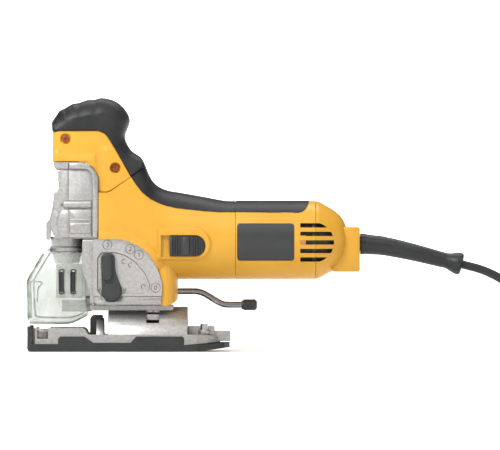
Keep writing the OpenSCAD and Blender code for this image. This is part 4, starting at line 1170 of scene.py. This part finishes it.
def dust_guard():
    """Clear moulded hood round the blade, with thick rolled edges."""
    outer = round_corners([(-8.4, 84.1), (-14.4, 79.2), (-26.1, 57.4), (-26.5, 54.5), (-26.0, 26.6),
                           (-25.2, 22.1), (7.4, 22.1), (12.5, 23.6), (23.5, 29), (21.0, 42), (21.0, 77),
                           (19.9, 80.2), (-7, 80.3), (-7.2, 82.4)],
                          [1.6, 3, 3, 3, 2, 1.5, 1, 2, 2, 3, 2, 1.5, 0.5, 0.8], 4)
    obj = plate_xz("dust_guard", outer, -GUARD_HALF, GUARD_HALF, CLEAR, 1.1, 35)
    inner = [(-8.8, 81.5), (-13.2, 78.2), (-24.4, 56.8), (-24.8, 54.4), (-24.4, 26.8), (-23.6, 10),
             (60, 10), (60, 90), (-6.9, 90), (-6.9, 81.5)]
    carve(obj, [prism(inner, -GUARD_HALF + GUARD_T, GUARD_HALF - GUARD_T)])
    finish_mesh(obj, 40)
    settle(obj, "dust_guard", ["dust_guard"])
    # Thickened rims, where the moulding's edge gathers the light
    rims = []
    for s in (-1, 1):
        y = s * 10.3
        front = smooth_path([(-13.8, y, 78.4), (-20, y, 67.6), (-25, y, 58.2), (-25.7, y, 54.5),
                             (-25.4, y, 40), (-25.2, y, 27)], 5)
        rims.append(wire(front, 1.0, 10))
        rims.append(wire([(x + 1.5, y, z) for x, y, z in front if z < 57], 0.9, 10))
        low = smooth_path([(-24.4, y, 23.2), (-10, y, 23), (6.5, y, 23), (14, y, 25.2), (21.8, y, 29.4)], 5)
        rims.append(wire(low, 0.9, 10))
        inner = smooth_path([(-8, y, 79.7), (-14.5, y, 69.2), (-20.6, y, 58.6), (-21.2, y, 55),
                             (-20.6, y, 42), (-20.0, y, 31), (-17.5, y, 28), (-4, y, 27.4), (9, y, 27.6),
                             (20, y, 31)], 5)
        rims.append(wire(inner, 0.5, 8))
        step = [(-25.4, y, 56.6), (-19, y, 56.4), (-14.4, y, 55.6), (-17.6, y, 50.4), (-18.2, y, 40)]
        rims.append(wire(smooth_path(step, 5), 0.5, 8))
        rims.append(wire([(-7.4, y, 80.0), (4, y, 80.3), (19.4, y, 79.8)], 0.6, 8))
    for x, z in ((-25.3, 57.8), (-25.2, 26.4), (-13.6, 78.6)):
        rims.append(wire([(x, -10.4, z), (x, -3, z), (x, 3, z), (x, 10.4, z)], 0.9, 10))
    settle(join_meshes("guard_rims", rims, RIM), "dust_guard", [])


orbit_selector()
switch_slider()
bevel_lever()
dust_guard()


# ---- carried-over nodes: materials and softened edges ----

NODE_LOOKS = {
    "motor_housing": (YELLOW, 0.3), "end_cap": (YELLOW, 0.4), "label_plate": (BLACK, 0.15),
    "spine_grip_rear": (GRIP, 0.5), "shell_screws": (SCREW, 0.2), "gear_case": (CAST, 0.5),
    "gear_plate": (CAST, 0.2), "lower_casting": (CAST, 0.5), "selector_plate": (ALLOY, 0.25),
    "finger_guard": (ALLOY, 0.4), "tilt_seat": (CAST, 0.4), "upper_bush": (BRONZE, 0.2),
    "lower_bush": (BRONZE, 0.2), "crank_shaft": (STEEL, 0.3), "yoke": (STEEL, 0.4),
    "front_bridge": (BLACK, 0.3), "rear_bridge": (BLACK, 0.3), "field_stator": (DARK, 0.2),
    "brush_holders": (COPPER, 0.3), "front_bearing": (STEEL, 0.3), "rear_bearing": (STEEL, 0.3),
    "pinion_bush": (BRONZE, 0.2), "switch_module": (BLACK, 0.5), "electronics_module": (BOARD, 0.5),
    "cord_clamp": (BLACK, 0.5), "clamp_plate": (STEEL, 0.4), "plunger": (STEEL, 0.3),
    "blade_clamp": (DARK, 0.4), "crank_gear": (STEEL, 0.08), "armature": (STEEL, 0.05),
    "armature_core": (DARK, 0.2), "commutator": (COPPER, 0.2), "fan": (BLACK, 0.2),
    "orbit_selector": (BLACK, 0.8), "orbit_fork": (DARK, 0.5), "fork_pin": (STEEL, 0.2),
    "guide_roller": (DARK, 0.4), "blade_lever": (ALLOY, 0.5), "lever_pin": (STEEL, 0.2),
    "dust_guard": (CLEAR, 0.5), "guard_pin": (STEEL, 0.2), "switch_slider": (BLACK, 0.3),
    "switch_link": (BLACK, 0.2), "bevel_lever": (CHROME, 0), "bevel_lever_cap": (BLACK, 0.6),
    "shoe_casting": (CAST, 0.5), "sole_cover": (SOLE, 0.5), "dust_spout": (CAST, 0.6),
    "spout_screws": (STEEL, 0.3), "strain_relief": (CORD, 0.4), "cord_lead": (CORD, 0),
    "cord_coil": (CORD, 0), "plug": (CORD, 1.0),
}
for name, (mat, width) in NODE_LOOKS.items():
    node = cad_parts[name]
    if node.hide_render:
        continue
    node.data.materials.clear()
    node.data.materials.append(mat)
    if width:
        weld = node.modifiers.new("weld", "WELD")
        weld.merge_threshold = 1e-6
        soften(node, width, 2, 25)


# ---- studio ----

FLOOR_X = (-600, 1050)
FLOOR_Y = (-900, 800)
HORIZON_R = 12000
HORIZON_H = 1300


def backdrop():
    """White floor, and far round it a wide bright ground with a low rim, so that every view is on white."""
    (x0, x1), (y0, y1) = FLOOR_X, FLOOR_Y
    paper = material("paper", (0.97, 0.97, 0.965), rough=0.8)
    vary(paper, "Roughness", 0.75, 0.85, 300)
    corners = [(x0, y0, 0), (x1, y0, 0), (x1, y1, 0), (x0, y1, 0)]
    floor = piece("floor", corners, [[0, 1, 2, 3]], paper)
    lit = material("lit_paper", (0.9, 0.9, 0.9), rough=0.9)
    shader = lit.node_tree.nodes["Principled BSDF"]
    shader.inputs["Emission Color"].default_value = (1, 1, 1, 1)
    shader.inputs["Emission Strength"].default_value = 1.0
    vary(lit, "Roughness", 0.8, 0.95, 900)
    sides = 48
    verts = [(HORIZON_R * math.cos(a), HORIZON_R * math.sin(a), z)
             for z in (-3, HORIZON_H) for a in full_turn(sides)]
    ground = piece("bright_ground", verts, [list(range(sides))] + wall_faces(2, sides), lit)


def area_light(name, at, target, size, watts):
    """A rectangular light at one point, turned to another."""
    light = bpy.data.lights.new(name, "AREA")
    light.shape = "RECTANGLE"
    light.size, light.size_y = (s * MM for s in size)
    light.energy = watts
    obj = new_object(name, light)
    obj.location = Vector(at) * MM
    obj.rotation_euler = (Vector(target) - Vector(at)).to_track_quat("-Z", "Y").to_euler()


def studio():
    backdrop()
    middle = (110, 0, 90)
    area_light("front", (150, -1500, 1500), (150, -1499, 0), (3000, 2500), 37)
    area_light("key", (-500, -900, 1000), middle, (350, 300), 13)
    area_light("rim", (150, 350, 900), middle, (900, 300), 4)
    area_light("wall", (150, 500, 900), (150, 1400, 300), (2400, 600), 34)
    world = bpy.data.worlds.new("studio")
    world.use_nodes = True
    light = world.node_tree.nodes["Background"]
    light.inputs["Color"].default_value = (1, 1, 1, 1)
    light.inputs["Strength"].default_value = 0.16
    bpy.context.scene.world = world
    bpy.context.scene.view_settings.view_transform = "Standard"


LOOK_AT = (154.7, -25, 102.5)
CAMERA_DISTANCE = 6000
WIDTH_AT_OBJECT = 405
SENSOR = 36


def camera():
    """A long lens in front of the left side, level with the middle of the machine."""
    data = bpy.data.cameras.new("camera")
    data.sensor_width = SENSOR
    data.lens = SENSOR * CAMERA_DISTANCE / WIDTH_AT_OBJECT
    data.clip_end = 20
    obj = new_object("camera", data)
    obj.location = Vector((LOOK_AT[0], LOOK_AT[1] - CAMERA_DISTANCE, LOOK_AT[2])) * MM
    obj.rotation_euler = (math.pi / 2, 0, 0)
    bpy.context.scene.camera = obj


studio()
camera()
